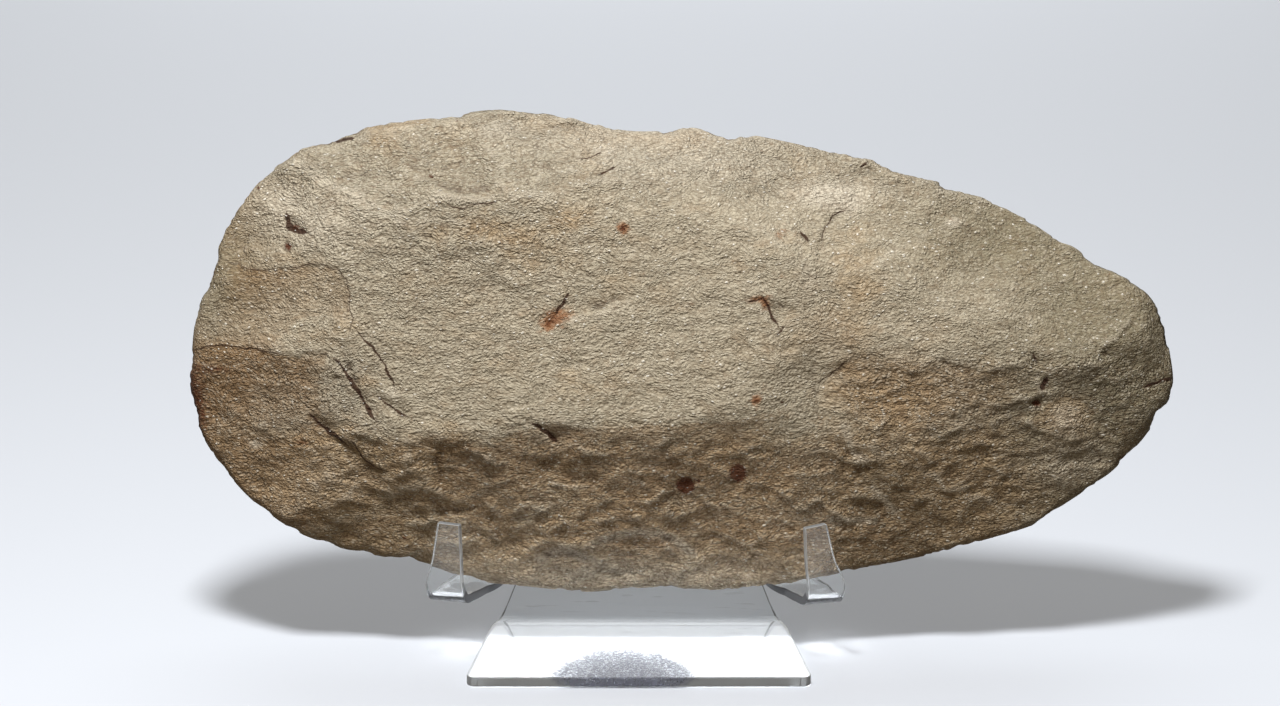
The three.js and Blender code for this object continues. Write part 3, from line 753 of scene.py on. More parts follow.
# %% Spots of colour: place, half sizes along u and v, strength
WARM_SPOTS = [  # pinkish beige and ochre
    (-72, 8, 13, 7, 0.2), (-45, 38, 22, 4, 0.35), (0, 37, 30, 3, 0.25), (-54, -4.5, 2.6, 1.6, 0.8),
    (67, -11, 4, 3.5, 2), (51.5, -32, 5, 3, 0.8), (30, 10, 6, 12, 0.45), (40, -7, 13, 5, 0.8),
    (-66, -15.3, 1.3, 1.1, 1.2), (-22, 22, 16, 9, 0.2), (-82, -20, 6, 6, 0.4), (60, 17, 12, 6, 0.3),
    (-52.5, -23, 3, 1.6, 0.7), (-60, -20, 12, 6, 0.35), (-12, -38, 26, 4, 0.5),
]
PALE_SPOTS = [  # whitish bruises and chips
    (25, 27.6, 6, 2.4, 0.9), (29, 25.5, 2.6, 1.6, 0.6), (67, -10.5, 3.6, 3.2, 0.35),
    (47.5, 22.6, 1.8, 0.9, 0.9), (-50, -6.5, 1.8, 1.3, 0.8), (-74.5, -16, 1.4, 0.9, 0.9),
    (-14, -18.5, 1.4, 1, 0.5), (22, 13.5, 2, 3.5, 0.5), (-13.5, 35.2, 1.6, 0.5, 0.9),
    (12.5, 12.5, 3, 1.4, 0.4), (-43, -13.2, 1.4, 0.7, 0.5), (1.3, -24, 0.5, 0.4, 0.9),
    (-32, 39, 3.5, 1.4, 0.35), (-22.5, 12.8, 2.4, 1.6, 0.45), (-19, 6.8, 3, 0.6, 0.6),
    (34, 28, 8, 2.5, 0.3), (0, 33, 24, 5, 0.5), (-60, 24, 16, 8, 0.45), (-12, 39, 45, 4, 0.5),
    # the broad spot at (-10, -40) is painted light along the bottom edge, as if lit from below
    (-70, 26, 6, 5, 0.35), (-62, 21, 5, 4, 0.2), (-10, -40, 38, 6, 0.75), (67, -11, 3.4, 3, 0.2),
    (-60, -22, 12, 6, 0.3), (69, -19, 11, 6, 0.55),
]
PALE_VEINS = [
    [(28, -12), (30, -17), (32, -18.5)], [(33.5, -23.5), (35, -25), (37.5, -28)],
    [(26, -29.2), (34, -29.6)], *ARCS,
]
RUST_SPOTS = [  # iron stains round two cracks, and a few small ones
    (-22, 7, 2.0, 1.6, 0.75), (-23.2, 5.6, 1.2, 1.4, 0.5), (-19.4, 7.6, 1.2, 0.8, 0.4),
    (12.8, 10.1, 1.8, 0.6, 0.7), (14.4, 9.4, 0.8, 1.4, 0.6), (-10.1, 22.3, 1.2, 1.0, 0.9),
    (12.8, -7.3, 1.0, 1.1, 0.85), (17, 13.9, 0.6, 0.4, 0.5), (17.5, 21.2, 2, 1.1, 0.35),
    (-66, -15.3, 1.2, 1, 0.45), (-57.2, 10, 0.5, 4, 0.2),
]
DRIED_AND_SHADED_SPOTS = [  # dark and dried, and the shade inside small pits
    (0.7, -22.6, 1.5, 1.5, 1.4), (9.8, -20.4, 1.4, 1.6, 1.3), (-67, 22, 1.1, 0.9, 0.6),
    (-68.3, 18.7, 0.7, 0.9, 0.8), (61.7, -8.5, 1.1, 0.7, 0.8), (77.8, -19.2, 1.3, 1.4, 0.7),
    (-73.9, 28.6, 0.5, 0.5, 0.7), (-43.4, 31.1, 0.6, 0.45, 0.8), (-39.2, 40.6, 0.6, 0.4, 0.7),
    (17.4, -7.8, 0.45, 0.4, 0.7), (3, -21.8, 0.5, 0.4, 0.7), (-48.5, -32.6, 0.5, 0.5, 0.7),
    (-59.8, -30.3, 0.5, 0.5, 0.6), (-75.6, 10.4, 0.5, 0.4, 0.5), (70, -23.8, 0.5, 0.5, 0.5),
    (-82, 14, 0.6, 2, 0.6), (12.8, -7.3, 0.6, 0.6, 0.6), (-10.1, 22.3, 0.8, 0.6, 0.7),
    # the last two are painted shade: a painted shadow over the left rim and a strip under the left
    # ridge
    (-22.4, 6.8, 0.7, 0.6, 0.35), (-88, -10, 6, 11, 0.75), (-80, -3, 4, 1.2, 0.35),
]
print("spots:", len(WARM_SPOTS + PALE_SPOTS + RUST_SPOTS + DRIED_AND_SHADED_SPOTS))

# %% Warm and pale zones, from spots, veins and noise
warm_zones = spots(u, v, WARM_SPOTS) + 0.7 * ramp(-v, 9, 18) + 0.25 * fractal(u, v, 14, 4, 320)
pale_zones = spots(u, v, PALE_SPOTS)
for vein in PALE_VEINS:
    pale_zones += 0.7 * np.exp(-((path_distance(u, v, vein)[0] / 0.9) ** 2))
print("pale share of the front:", pale_zones.clip(0, 1).mean().round(3))

# %% [markdown]
# ## Cracks
#
# A crack is finer than the mesh. The distance to it can't be kept as it is, because it folds
# over at the line, between two points of the mesh. With a sign for the side it runs straight
# through zero there, so the material finds the line even inside a face.

# %% The lines of the cracks, from end to end, with half a width
CRACKS = [
    ([(-86, 0), (-84, 0.5), (-80, 1.3), (-77, 1.1), (-73, 0.6), (-69, 0)], 0.1),
    ([(-56.2, 4.6), (-53.3, 1.5), (-51.4, -1.4), (-49.7, -5.2)], 0.17),
    ([(-60.3, 0), (-59, -1.8), (-57.2, -4.3), (-55.8, -6.6), (-54, -9.8), (-52.6, -11.3)], 0.3),
    ([(-53, -6.8), (-50, -9), (-47.3, -10.5)], 0.16),
    ([(-64.8, -9.8), (-62.8, -12.2), (-60, -14), (-58.2, -15.2)], 0.28),
    ([(-57.5, -14.6), (-56, -16.3), (-54.8, -18.3), (-53.4, -19.6), (-50.8, -20.3)], 0.1),
    (SCAR_EDGE, 0.05),
    ([(-25.8, -11), (-23.5, -12.8), (-21.4, -14.8)], 0.28),
    ([(-19.3, 11.2), (-20.6, 9), (-21.9, 7.4)], 0.2),
    ([(11, 9.7), (12.8, 9.9), (14.4, 10.5)], 0.18),
    ([(14.3, 10.4), (14.7, 8.8), (15.3, 7.4), (16.6, 5.4)], 0.18),
    ([(63.3, -3.9), (62.8, -6.1)], 0.4),
    ([(80.8, -6.2), (83, -5.4), (86.2, -4.7)], 0.25),
    ([(-40.5, 26.1), (-38, 25.6), (-36, 26.4), (-33, 26.6), (-31, 27.2)], 0.1),
    ([(-14.5, 31.3), (-11.4, 32.8)], 0.14),
    ([(-18, 34), (-15.8, 34.3), (-13.6, 35)], 0.1),
    ([(28.5, 25.4), (26, 24), (25, 22), (24.2, 20)], 0.1),
    ([(28.3, -0.8), (26, -3), (24, -4.5)], 0.12),
    ([(-68.6, 24.6), (-68.1, 21.7), (-64.8, 21.3)], 0.5),
    ([(-60.4, 36.6), (-57, 37.4)], 0.25),
    ([(31, 32.2), (32.4, 32.9)], 0.2),
    ([(61, 0.4), (61.5, -1.6)], 0.2),
    ([(16.5, 4.2), (17.9, 5.3)], 0.16),
    ([(20.4, 21.6), (21.8, 19.8)], 0.25),
]
CRACK_FAR = 3  # mm, the greatest distance that is kept


def crack_field(u, v):
    """The signed distance to the nearest crack, and half its width, which is 0 away from it."""
    ragged_u, ragged_v = ragged(u, v, 0.35, 2.4, 160, 170)
    nearest = np.full(u.shape, FAR)
    signed, width = np.zeros_like(u), np.zeros_like(u)
    for path, half in CRACKS:
        away, side, along = path_distance(ragged_u, ragged_v, path)
        nearer = away < nearest
        nearest = np.where(nearer, away, nearest)
        signed = np.where(nearer, side * away, signed)
        open_here = half * ends_fade(along) * (1 - ramp(away, 1.0, 1.6))
        width = np.where(nearer, open_here, width)
    return np.clip(signed, -CRACK_FAR, CRACK_FAR), width


crack_side, crack_half = crack_field(u, v)
print("cracks:", len(CRACKS), "points near one:", int((crack_half > 0).sum()))

# %% Keep the zones on the mesh
nowhere = np.zeros_like(u)
sides = {  # the front's values and the back's
    "hollow": (hollow_front, hollow_back),
    "brown": (brown_and_shade_zones(u, v), (0.45 + 0.5 * fractal(u, v, 26, 3, 340)).clip(0, 1)),
    "warm": (warm_zones.clip(0, 1.2), (0.3 + 0.5 * fractal(u, v, 18, 4, 360)).clip(0, 1)),
    "olive": (olive_and_shade_zones(u, v), 0.6 * ramp(u, 40, 80)),
    "pale": (pale_zones.clip(0, 1), nowhere),
    "rust": (spots(u, v, RUST_SPOTS).clip(0, 1), 0.8 * spot(u, v, 22, -9, 1.6, 1.2)),
    "dried_and_shaded": (spots(u, v, DRIED_AND_SHADED_SPOTS).clip(0, 1), nowhere),
    "rough": (rough_front, rough_back),
    "crack_side": (crack_side, np.full_like(u, CRACK_FAR)),
    "crack_half": (crack_half, nowhere),
}
attributes = {name: join_rim(*values) for name, values in sides.items()}
celt = build_mesh("celt_stone", places, np.concatenate([faces_front, faces_back]), attributes)
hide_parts("celt")
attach(celt, "root")
print("celt attributes:", sorted(attributes))

# %% [markdown]
# ## Shader maths as expressions
#
# A material is a graph of nodes. Writing each Math node by hand hides the formula, so a small
# class wraps a socket and lets Python's own operators add the nodes.


# %% A wrapped socket
class Wire:
    """One output socket. Arithmetic on it adds Math nodes to its material."""

    def __init__(self, maker, socket):
        self.maker = maker
        self.socket = socket

    def math(self, operation, *others):
        return self.maker.node("ShaderNodeMath", {"operation": operation}, [self, *others])

    def __add__(self, other):
        return self.math("ADD", other)

    def __sub__(self, other):
        return self.math("SUBTRACT", other)

    def __rsub__(self, other):
        return self.maker.node("ShaderNodeMath", {"operation": "SUBTRACT"}, [other, self])

    def __mul__(self, other):
        return self.math("MULTIPLY", other)

    __radd__, __rmul__ = __add__, __mul__

    def smooth(self, low, high, start=0.0, end=1.0):
        """A smooth step from start at low to end at high."""
        settings = {"interpolation_type": "SMOOTHSTEP"}
        values = {"Value": self, "From Min": low, "From Max": high, "To Min": start, "To Max": end}
        return self.maker.node("ShaderNodeMapRange", settings, values)


class Maker:
    """Adds nodes to one material."""

    def __init__(self, name):
        self.material = bpy.data.materials.new(name)
        self.material.use_nodes = True
        self.tree = self.material.node_tree
        self.shader = self.tree.nodes["Principled BSDF"]

    def node(self, kind, settings=None, values=(), output=0):
        """A node of a kind, with its settings set first, then its sockets' values or links."""
        made = self.tree.nodes.new(kind)
        for key, value in (settings or {}).items():
            setattr(made, key, value)
        pairs = values.items() if isinstance(values, dict) else enumerate(values)
        for key, value in pairs:
            self.set(made.inputs[key], value)
        return Wire(self, made.outputs[output])

    def set(self, socket, value):
        if isinstance(value, Wire):
            self.tree.links.new(value.socket, socket)
        else:
            socket.default_value = value

    def mix(self, share, first, second):
        """A colour between two colours. The Mix node keeps its colour sockets at 6 and 7."""
        sockets = {0: share, 6: first, 7: second}
        return self.node("ShaderNodeMix", {"data_type": "RGBA"}, sockets, output=2)

    def cover(self, base, *layers):
        """Lays colours over a base, one after another. A layer is a share and a colour."""
        for share, colour in layers:
            base = self.mix(share, base, colour)
        return base

    def vector(self, operation, *values, output=0):
        return self.node("ShaderNodeVectorMath", {"operation": operation}, values, output)

    def mapping(self, kind, place, **values):
        """A place moved, turned and scaled, or for a TEXTURE mapping the other way round."""
        return self.node("ShaderNodeMapping", {"vector_type": kind}, {"Vector": place, **values})

    def fill(self, values):
        """Sets sockets of the material's own shader by name."""
        for key, value in values.items():
            self.set(self.shader.inputs[key], value)

    def noise(self, place, size, detail=2.0, rough=0.5):
        """Fractal noise from 0 to 1, with bumps of a size in the units of place."""
        values = {"Vector": place, "Scale": 1 / size, "Detail": detail, "Roughness": rough}
        return self.node("ShaderNodeTexNoise", {}, values)

    def attribute(self, name):
        return self.node("ShaderNodeAttribute", {"attribute_name": name}, output="Fac")


def rgb(red, green, blue):
    """A colour written as in a paint program, from 0 to 255, as the linear light it stands for."""
    def linear(c):
        c = c / 255
        return c / 12.92 if c <= 0.04045 else ((c + 0.055) / 1.055) ** 2.4

    return (linear(red), linear(green), linear(blue), 1.0)


print("pale stone in linear light:", np.round(rgb(186, 174, 150), 3))

# %% [markdown]
# ## The stone's material
#
# Close up, quartzite is packed grains. Its thin beds give the broken face a weave of wavy,
# nearly level ripples, less than a millimetre apart. The same grain feeds the bump and the
# colour, whose gaps between grains are darkened as painted shade. Here and there a grain flashes
# like glass: a painted near-white glint in its colour, with a lower roughness.

# %% Places on the stone, in its own axes and in millimetres
stone = Maker("flaked_quartzite")
object_place = stone.node("ShaderNodeTexCoord", output="Object")
on_celt = stone.mapping(
    "TEXTURE",
    object_place,
    Location=tuple(SHIFT * MM),
    Rotation=(math.pi / 2 - LEAN, 0, 0),
    Scale=(MM,) * 3,
)


def bend(place, size, amount):
    """Shifts a place by noise of a size, so that what is drawn there isn't straight."""
    values = {"Vector": place, "Scale": 1 / size, "Detail": 1.0}
    shift = stone.node("ShaderNodeTexNoise", {}, values, output="Color")
    moved = stone.vector("MULTIPLY_ADD", shift, (amount,) * 3, place)
    return stone.vector("SUBTRACT", moved, (amount / 2,) * 3)


BED_STRETCH = (0.66, 1, 1)  # ripples are longer than they are high
bedded = stone.vector("MULTIPLY", bend(on_celt, 5, 2.2), BED_STRETCH)
print("stone nodes so far:", len(stone.tree.nodes))

# %% Grain, ripples and lumps, as heights in millimetres
GRAINS_PER_MM = 2.7
grain_map = {"Vector": bedded, "Scale": GRAINS_PER_MM}
cells = stone.node("ShaderNodeTexVoronoi", {}, grain_map)
cell_place = stone.node("ShaderNodeTexVoronoi", {}, grain_map, output="Position")
chance = stone.node("ShaderNodeTexWhiteNoise", {}, {"Vector": cell_place})
rough = stone.attribute("rough")
grain = stone.noise(bedded, 0.25, 2.0, 0.6)
ripple = stone.noise(bedded, 0.7, 2.0, 0.6)
lump = stone.noise(bedded, 2.6, 3.0, 0.6)
coarse = 1.05 + 1.1 * rough
round_grain = (1 - cells) * (0.4 + 0.9 * chance)
knobs = stone.node("ShaderNodeTexVoronoi", {}, {"Vector": bedded, "Scale": 1.0})
relief = coarse * (0.26 * round_grain + 0.25 * grain + 0.28 * ripple) + 1.3 * lump
relief = relief - 0.5 * rough * knobs
print("stone nodes with the relief:", len(stone.tree.nodes))

# %% Colours of the stone
PALE_GREY = rgb(184, 174, 152)
BEIGE = rgb(190, 166, 132)
BROWN = rgb(156, 128, 95)
DARK_BROWN = rgb(92, 70, 48)
OLIVE = rgb(128, 120, 96)
RUST = rgb(148, 94, 52)
DARK_RED_BROWN = rgb(88, 44, 22)
CHALK = rgb(222, 212, 192)
SHADOW = rgb(60, 34, 19)

patches = stone.noise(bedded, 6, 4.0, 0.65)
warm = stone.attribute("warm") + 1.6 * patches - 0.85
base = stone.cover(
    PALE_GREY,
    (warm.smooth(0, 0.8), BEIGE),
    (stone.noise(bedded, 3.5, 4.0, 0.7).smooth(0.5, 0.3, 0, 0.25), BROWN),
    # the brown and grey-green zones also carry painted shade
    (stone.attribute("brown").smooth(0.02, 1.0), BROWN),
    (stone.attribute("olive"), OLIVE),
    (stone.attribute("pale").smooth(0.05, 1.0, 0, 0.7), CHALK),
)
print("stone nodes with the zones:", len(stone.tree.nodes))

# %% Each grain is a little lighter or darker, with painted shade between grains and in hollows
speckle = 0.8 + 0.3 * rough
hollow = stone.attribute("hollow")
base = stone.cover(
    base,
    (speckle * chance.smooth(0.0, 0.5, 0.35, 0), DARK_BROWN),
    (speckle * chance.smooth(0.55, 1.0, 0, 0.35), CHALK),
    # painted shade in the gaps between grains
    (speckle * (cells + 0.3 * ripple).smooth(0.55, 0.95, 0, 0.4), DARK_BROWN),
    # painted shade in hollows and cracks, and ridges made paler
    (hollow.smooth(0.04, 0.35, 0, 0.5), SHADOW),
    (hollow.smooth(-0.03, -0.3, 0, 0.3), CHALK),
)
print("stone nodes with the grains:", len(stone.tree.nodes))

# %% Stains and cracks
stain = stone.attribute("rust") + 1.1 * ripple - 0.55
# dried stains, and painted shade in pits and on the left rim
dried_and_shaded = stone.attribute("dried_and_shaded") + 0.8 * grain - 0.4
crack_away = (stone.attribute("crack_side") + 0.3 * ripple - 0.15).math("ABSOLUTE")
crack_open = stone.attribute("crack_half") * lump.smooth(0.3, 0.62, 0.45, 1.25)
base = stone.cover(
    base,
    (stain.smooth(0.1, 0.7, 0, 0.75), RUST),
    (stain.smooth(0.6, 1.0, 0, 0.75), DARK_RED_BROWN),
    (dried_and_shaded.smooth(0.3, 0.6, 0, 0.9), DARK_RED_BROWN),
    (0.92 * (crack_open - crack_away).smooth(-0.12, 0.08), SHADOW),
)
print("stone nodes with the cracks:", len(stone.tree.nodes))

# %% Glints, painted as near-white grains with a lower roughness, and the shader's own values
PAINTED_GLINT = rgb(244, 240, 230)
glint = chance.smooth(0.965, 0.975) * cells.smooth(0.42, 0.3)
stone.fill({
    "Base Color": stone.mix(glint * 0.7, base, PAINTED_GLINT),
    "Roughness": 0.9 - 0.5 * glint,
    "Specular IOR Level": 0.25,
    "Normal": stone.node("ShaderNodeBump", {}, {"Height": relief, "Strength": 1.0, "Distance": MM}),
})
celt.data.materials.append(stone.material)
print("stone nodes:", len(stone.tree.nodes))

# %% [markdown]
# ## The clear stand
#
# The stand was cut from one sheet of acrylic, its edges were smoothed, and it was bent warm. A
# bent sheet is a flat strap carried along a path, so the foot, fold and back are one strap and
# each arm is another, which twists until it lies flat under the stone. The three are then made
# one solid. Edges get a small round, because a sharp edge on clear plastic catches no light.

# %% The stand's sizes, in millimetres
SHEET = 1.7
STAND_OFFSET = -7.4
FOOT_DEPTH, FOOT_FRONT_HALF, FOOT_CORNER = 34.8, 30, 2
FOLD_HALF, FOLD_RADIUS = 25.6, 4
NECK_HALF, NECK_RISE = 18.2, 13
PANEL_RISE, PANEL_TOP_HALF, PANEL_TOP_CORNER = 60, 17, 12
LEFT_REACH, RIGHT_REACH = 29.7, 28.6
LEFT_HOOK_REACH, RIGHT_HOOK_REACH = 32.9, 30.6
ARM_DIP, ARM_HALF, ARM_TIP_HALF, ARM_SHEET = 0.2, 3.4, 2, 1.6
HOOK_FORWARD, HOOK_RISE = 9, 14
CLEARANCE = 0.3
EDGE_ROUND = 0.22
ROUND_POINTS = 5  # on each quarter circle of a rounded edge
# the back shade is painted shade: cut edges behind and under the stone are coloured near black
FRONT_SHADE, BACK_SHADE = 0.6, 1.0  # how dark a cut edge looks, in front and behind
print("foot in mm:", 2 * FOOT_FRONT_HALF, "wide,", FOOT_DEPTH, "deep")

# %% Where the back panel's middle plane is
RIM_HEIGHT = 10.9
GROUP_SHIFT = SHIFT - np.array([0, CELT_WIDTH / 2 * LEAN_SIN, RIM_HEIGHT + CELT_WIDTH / 2 * LEAN_COS])
swell_u, swell_v = np.meshgrid(
    np.arange(-PANEL_TOP_HALF, PANEL_TOP_HALF + 1) + STAND_OFFSET,
    np.arange(-DRAWN_WIDTH / 3, DRAWN_WIDTH / 3, 1),
)
swell_middle = rim_wander(swell_u, swell_v) * outward_share(swell_u, swell_v) ** 2
swell = BACK_SHARE * face_height(swell_u, swell_v, BACK_FLAKES, BACK_TILT, 0) - swell_middle
PANEL_GAP = swell.max() + CLEARANCE + SHEET / 2
UP_PANEL = np.array([0, LEAN_SIN, LEAN_COS])
panel_foot = stand_up(0, 0, -PANEL_GAP, SHIFT)
panel_foot -= UP_PANEL * (panel_foot[2] - GROUP_SHIFT[2] - SHEET / 2) / UP_PANEL[2]
FOLD_TURN = math.pi / 2 - LEAN
FOLD_TANGENT = FOLD_RADIUS * math.tan(FOLD_TURN / 2)
print("panel meets the table at y in mm:", round(float(panel_foot[1]), 2))


# %% A strap along a path
strap_points, strap_shades = [], []  # kept for the material
NARROW_SIDE = 0.3  # how far a point must face aside to belong to a cut edge
END_RINGS = 3  # rings of points at each end that belong to its cut edge


def strap(name, middle, across, half, thick, shade):
    """Carries a flat rounded rectangle along a path: at each station its middle, the way across,
    half its width, its thickness and how dark its cut edges look. At both ends it shrinks over a
    quarter circle, so that the end's edges are round too. The faces are a grid round the strap,
    closed by two end faces."""
    along = np.gradient(middle, axis=0)
    along /= np.linalg.norm(along, axis=1, keepdims=True)
    aside = across - along * (across * along).sum(axis=1, keepdims=True)
    aside /= np.linalg.norm(aside, axis=1, keepdims=True)
    face = np.cross(aside, along)

    turn = np.linspace(0, np.pi / 2, ROUND_POINTS)
    inset = EDGE_ROUND * (1 - np.sin(turn))
    slide = EDGE_ROUND * (1 - np.cos(turn))
    first = middle[:1] + along[:1] * slide[:, None]
    last = middle[-1:] - along[-1:] * slide[::-1, None]
    middle = np.concatenate([first, middle[2:-2], last])
    stations = np.arange(len(aside))
    order = stations[[0] * ROUND_POINTS + list(stations[2:-2]) + [-1] * ROUND_POINTS]
    shrink = np.concatenate([inset, np.zeros(len(aside) - 4), inset[::-1]])
    aside, face = aside[order], face[order]
    half, thick = half[order] - shrink, thick[order] / 2 - shrink

    corner = np.repeat(np.arange(4), ROUND_POINTS)
    arc = np.tile(turn, 4) + corner * np.pi / 2
    sign_x = np.array([1, -1, -1, 1])[corner]
    sign_z = np.array([1, 1, -1, -1])[corner]
    x = sign_x * (half[:, None] - EDGE_ROUND) + EDGE_ROUND * np.cos(arc)
    z = sign_z * (thick[:, None] - EDGE_ROUND) + EDGE_ROUND * np.sin(arc)
    points = middle[:, None] + aside[:, None] * x[..., None] + face[:, None] * z[..., None]
    points = points.reshape(-1, 3) * MM

    rows, columns = x.shape
    index = np.arange(rows * columns).reshape(rows, columns)
    ahead, beside = index[1:], np.roll(index, -1, axis=1)
    quads = np.stack([index[:-1], ahead, beside[1:], beside[:-1]], axis=-1).reshape(-1, 4)
    mesh = bpy.data.meshes.new(name)
    ends = [index[0].tolist(), index[-1][::-1].tolist()]
    mesh.from_pydata(points.tolist(), [], quads.tolist() + ends)
    mesh.validate()
    cut = shade[order][:, None] * (np.abs(np.cos(arc)) > NARROW_SIDE)
    cut[:END_RINGS], cut[-END_RINGS:] = shade[0], shade[-1]
    strap_points.append(points)
    strap_shades.append(cut.ravel())
    return add_object(name, mesh)


# %% The foot, fold and back
STAND_MIDDLE = STAND_OFFSET + GROUP_SHIFT[0]


def rounded_half(half, corner, from_end):
    """Half a sheet's width near its end: it shrinks over a quarter circle at each corner."""
    inside = np.maximum(corner - from_end, 0)
    return half - corner + np.sqrt(corner**2 - inside**2)


def on_panel(x, rise):
    """Places on the panel's middle plane, so far aside and so far up from the fold."""
    place = panel_foot + UP_PANEL * (FOLD_TANGENT + np.asarray(rise, float)[..., None])
    place[..., 0] = STAND_MIDDLE + x
    return place


def in_middle(y, z):
    """Places in the stand's middle plane, so far back and so high."""
    return np.stack(np.broadcast_arrays(STAND_MIDDLE, y, z), axis=-1)


foot_back = np.concatenate([
    FOOT_CORNER * (1 - np.cos(np.linspace(0, np.pi / 2, 9))),
    np.linspace(FOOT_CORNER, FOOT_DEPTH - FOLD_TANGENT, 12)[1:-1],
])
foot_middle = in_middle(panel_foot[1] - FOOT_DEPTH + foot_back, SHEET / 2)
foot_half = rounded_half(
    FOOT_FRONT_HALF + (FOLD_HALF - FOOT_FRONT_HALF) * foot_back / FOOT_DEPTH, FOOT_CORNER, foot_back
)
fold_turn = np.linspace(0, FOLD_TURN, 25)
fold_middle = in_middle(
    panel_foot[1] - FOLD_TANGENT + FOLD_RADIUS * np.sin(fold_turn),
    SHEET / 2 + FOLD_RADIUS * (1 - np.cos(fold_turn)),
)
neck_rise = np.linspace(0, NECK_RISE, 7)[1:]
neck_length = FOLD_TURN * FOLD_RADIUS
taper = np.concatenate([fold_turn * FOLD_RADIUS, neck_length + neck_rise]) / (neck_length + NECK_RISE)
neck_half = FOLD_HALF + (NECK_HALF - FOLD_HALF) * taper
TOP_FROM = PANEL_RISE - PANEL_TOP_CORNER
TOP_TURN = 0.97 * np.pi / 2  # not quite a quarter circle, where the strap would stop moving up
up = PANEL_TOP_CORNER * np.sin(np.linspace(0, TOP_TURN, 22))
panel_rise = np.concatenate([np.linspace(NECK_RISE, TOP_FROM, 9)[1:-1], TOP_FROM + up])
panel_half = np.concatenate([
    np.linspace(NECK_HALF, PANEL_TOP_HALF, 9)[1:-1],
    rounded_half(PANEL_TOP_HALF, PANEL_TOP_CORNER, PANEL_TOP_CORNER - up),
])
body_middle = np.concatenate([
    foot_middle, fold_middle, on_panel(0, neck_rise), on_panel(0, panel_rise)
])
body_half = np.concatenate([foot_half, neck_half, panel_half])
# painted shade on the cut edges from the middle of the fold up
half_fold = len(foot_middle) + len(fold_turn) // 2
stand_body = strap(
    "stand_body",
    body_middle,
    np.tile([1.0, 0, 0], (len(body_middle), 1)),
    body_half,
    np.full(len(body_middle), SHEET),
    np.where(np.arange(len(body_middle)) < half_fold, FRONT_SHADE, BACK_SHADE),
)
print("body stations:", len(body_middle))


# %% The arms
def smooth_path(points, steps):
    """Centripetal Catmull-Rom: cubics whose end slopes allow for how far apart the points are."""
    before, after = 2 * points[0] - points[1], 2 * points[-1] - points[-2]
    points = np.vstack([before, points, after])
    gaps = np.sqrt(np.linalg.norm(np.diff(points, axis=0), axis=1))
    spans = len(points) - 3
    place = np.linspace(0, spans, steps + 1)
    k = np.minimum(place.astype(int), spans - 1)
    t = (place - k)[:, None]
    p0, p1, p2, p3 = (points[k + i] for i in range(4))
    d0, d1, d2 = (gaps[k + i][:, None] for i in range(3))
    slope_in = ((p1 - p0) / d0 - (p2 - p0) / (d0 + d1) + (p2 - p1) / d1) * d1
    slope_out = ((p2 - p1) / d1 - (p3 - p1) / (d1 + d2) + (p3 - p2) / d2) * d1
    return cubic(p1, p2, slope_in, slope_out, t), place


def lower_edge(x):
    """The stone's lower edge at a place along its length."""
    below = rim_points[rim_points[:, 1] < 0]
    near_u, near_v = below[np.argmin(np.abs(below[:, 0] - x))]
    return stand_up(x, near_v, rim_wander(near_u, near_v), SHIFT)


ARM_STEPS = 112
ELBOW = 5.5  # the place along an arm, counted in its middles, where it turns up


def arm(name, side, reach, hook_reach):
    """A strap out of the panel's neck that twists to pass flat under the stone and hooks up."""
    edge = lower_edge(STAND_OFFSET + side * reach)
    level = edge[2] - CLEARANCE - ARM_SHEET / 2

    def at(x, y, z):
        return [STAND_MIDDLE + side * x, edge[1] + y, level + z]

    def turned(inward, forward, down):
        way = np.array([-side * inward, -forward, -down], float)
        return way / np.linalg.norm(way)

    flat, upright = turned(0.82, 0.57, 0), turned(1, 0.27, 0)
    out = HOOK_FORWARD
    middles = np.array([
        on_panel(side * (NECK_HALF - 3), NECK_RISE),
        on_panel(side * (NECK_HALF + 1.5), NECK_RISE - 1.6),
        at(reach - 3.6, 6.4, 0.9),
        at(reach, 0, 0),
        at(reach + 2, 4.8 - out, -ARM_DIP),
        at(reach + 3.4, 1.6 - out, 0.5 - ARM_DIP),
        at(reach + 4, 0.1 - out, 2.8),
        at((reach + 4 + hook_reach) / 2, -out, 0.5 * HOOK_RISE),
        at(hook_reach, 0.2 - out, HOOK_RISE),
    ])
    ways = np.array([
        turned(0, 0, 1), turned(0, 0.1, 1), turned(0.6, 0.6, 0.6), turned(0.78, 0.6, 0.15),
        flat, upright, upright, upright, upright,
    ])
    last = len(middles) - 1
    spread = np.arange(last + 1)
    halves = ARM_HALF + (ARM_TIP_HALF - ARM_HALF) * np.clip((spread - last + 2) / 2, 0, 1)
    middle, place = smooth_path(middles, ARM_STEPS)
    across = np.stack([np.interp(place, spread, ways[:, i]) for i in range(3)], axis=1)
    half = np.interp(place, spread, halves)
    thick = np.full(len(place), ARM_SHEET)
    # painted shade on the cut edges up to the elbow, where the arm runs under the stone
    shade = np.where(place < ELBOW, BACK_SHADE, FRONT_SHADE)
    return strap(name, middle, across, half, thick, shade)


left_arm = arm("left_arm", -1, LEFT_REACH, LEFT_HOOK_REACH)
right_arm = arm("right_arm", 1, RIGHT_REACH, RIGHT_HOOK_REACH)
print("arm faces:", len(left_arm.data.polygons), len(right_arm.data.polygons))

# %% [markdown]
# A Boolean union makes the three straps one solid. Its shape is exact, but it mixes up what was
# kept at the points, so each point's edge shade is looked up again afterwards, by its place.

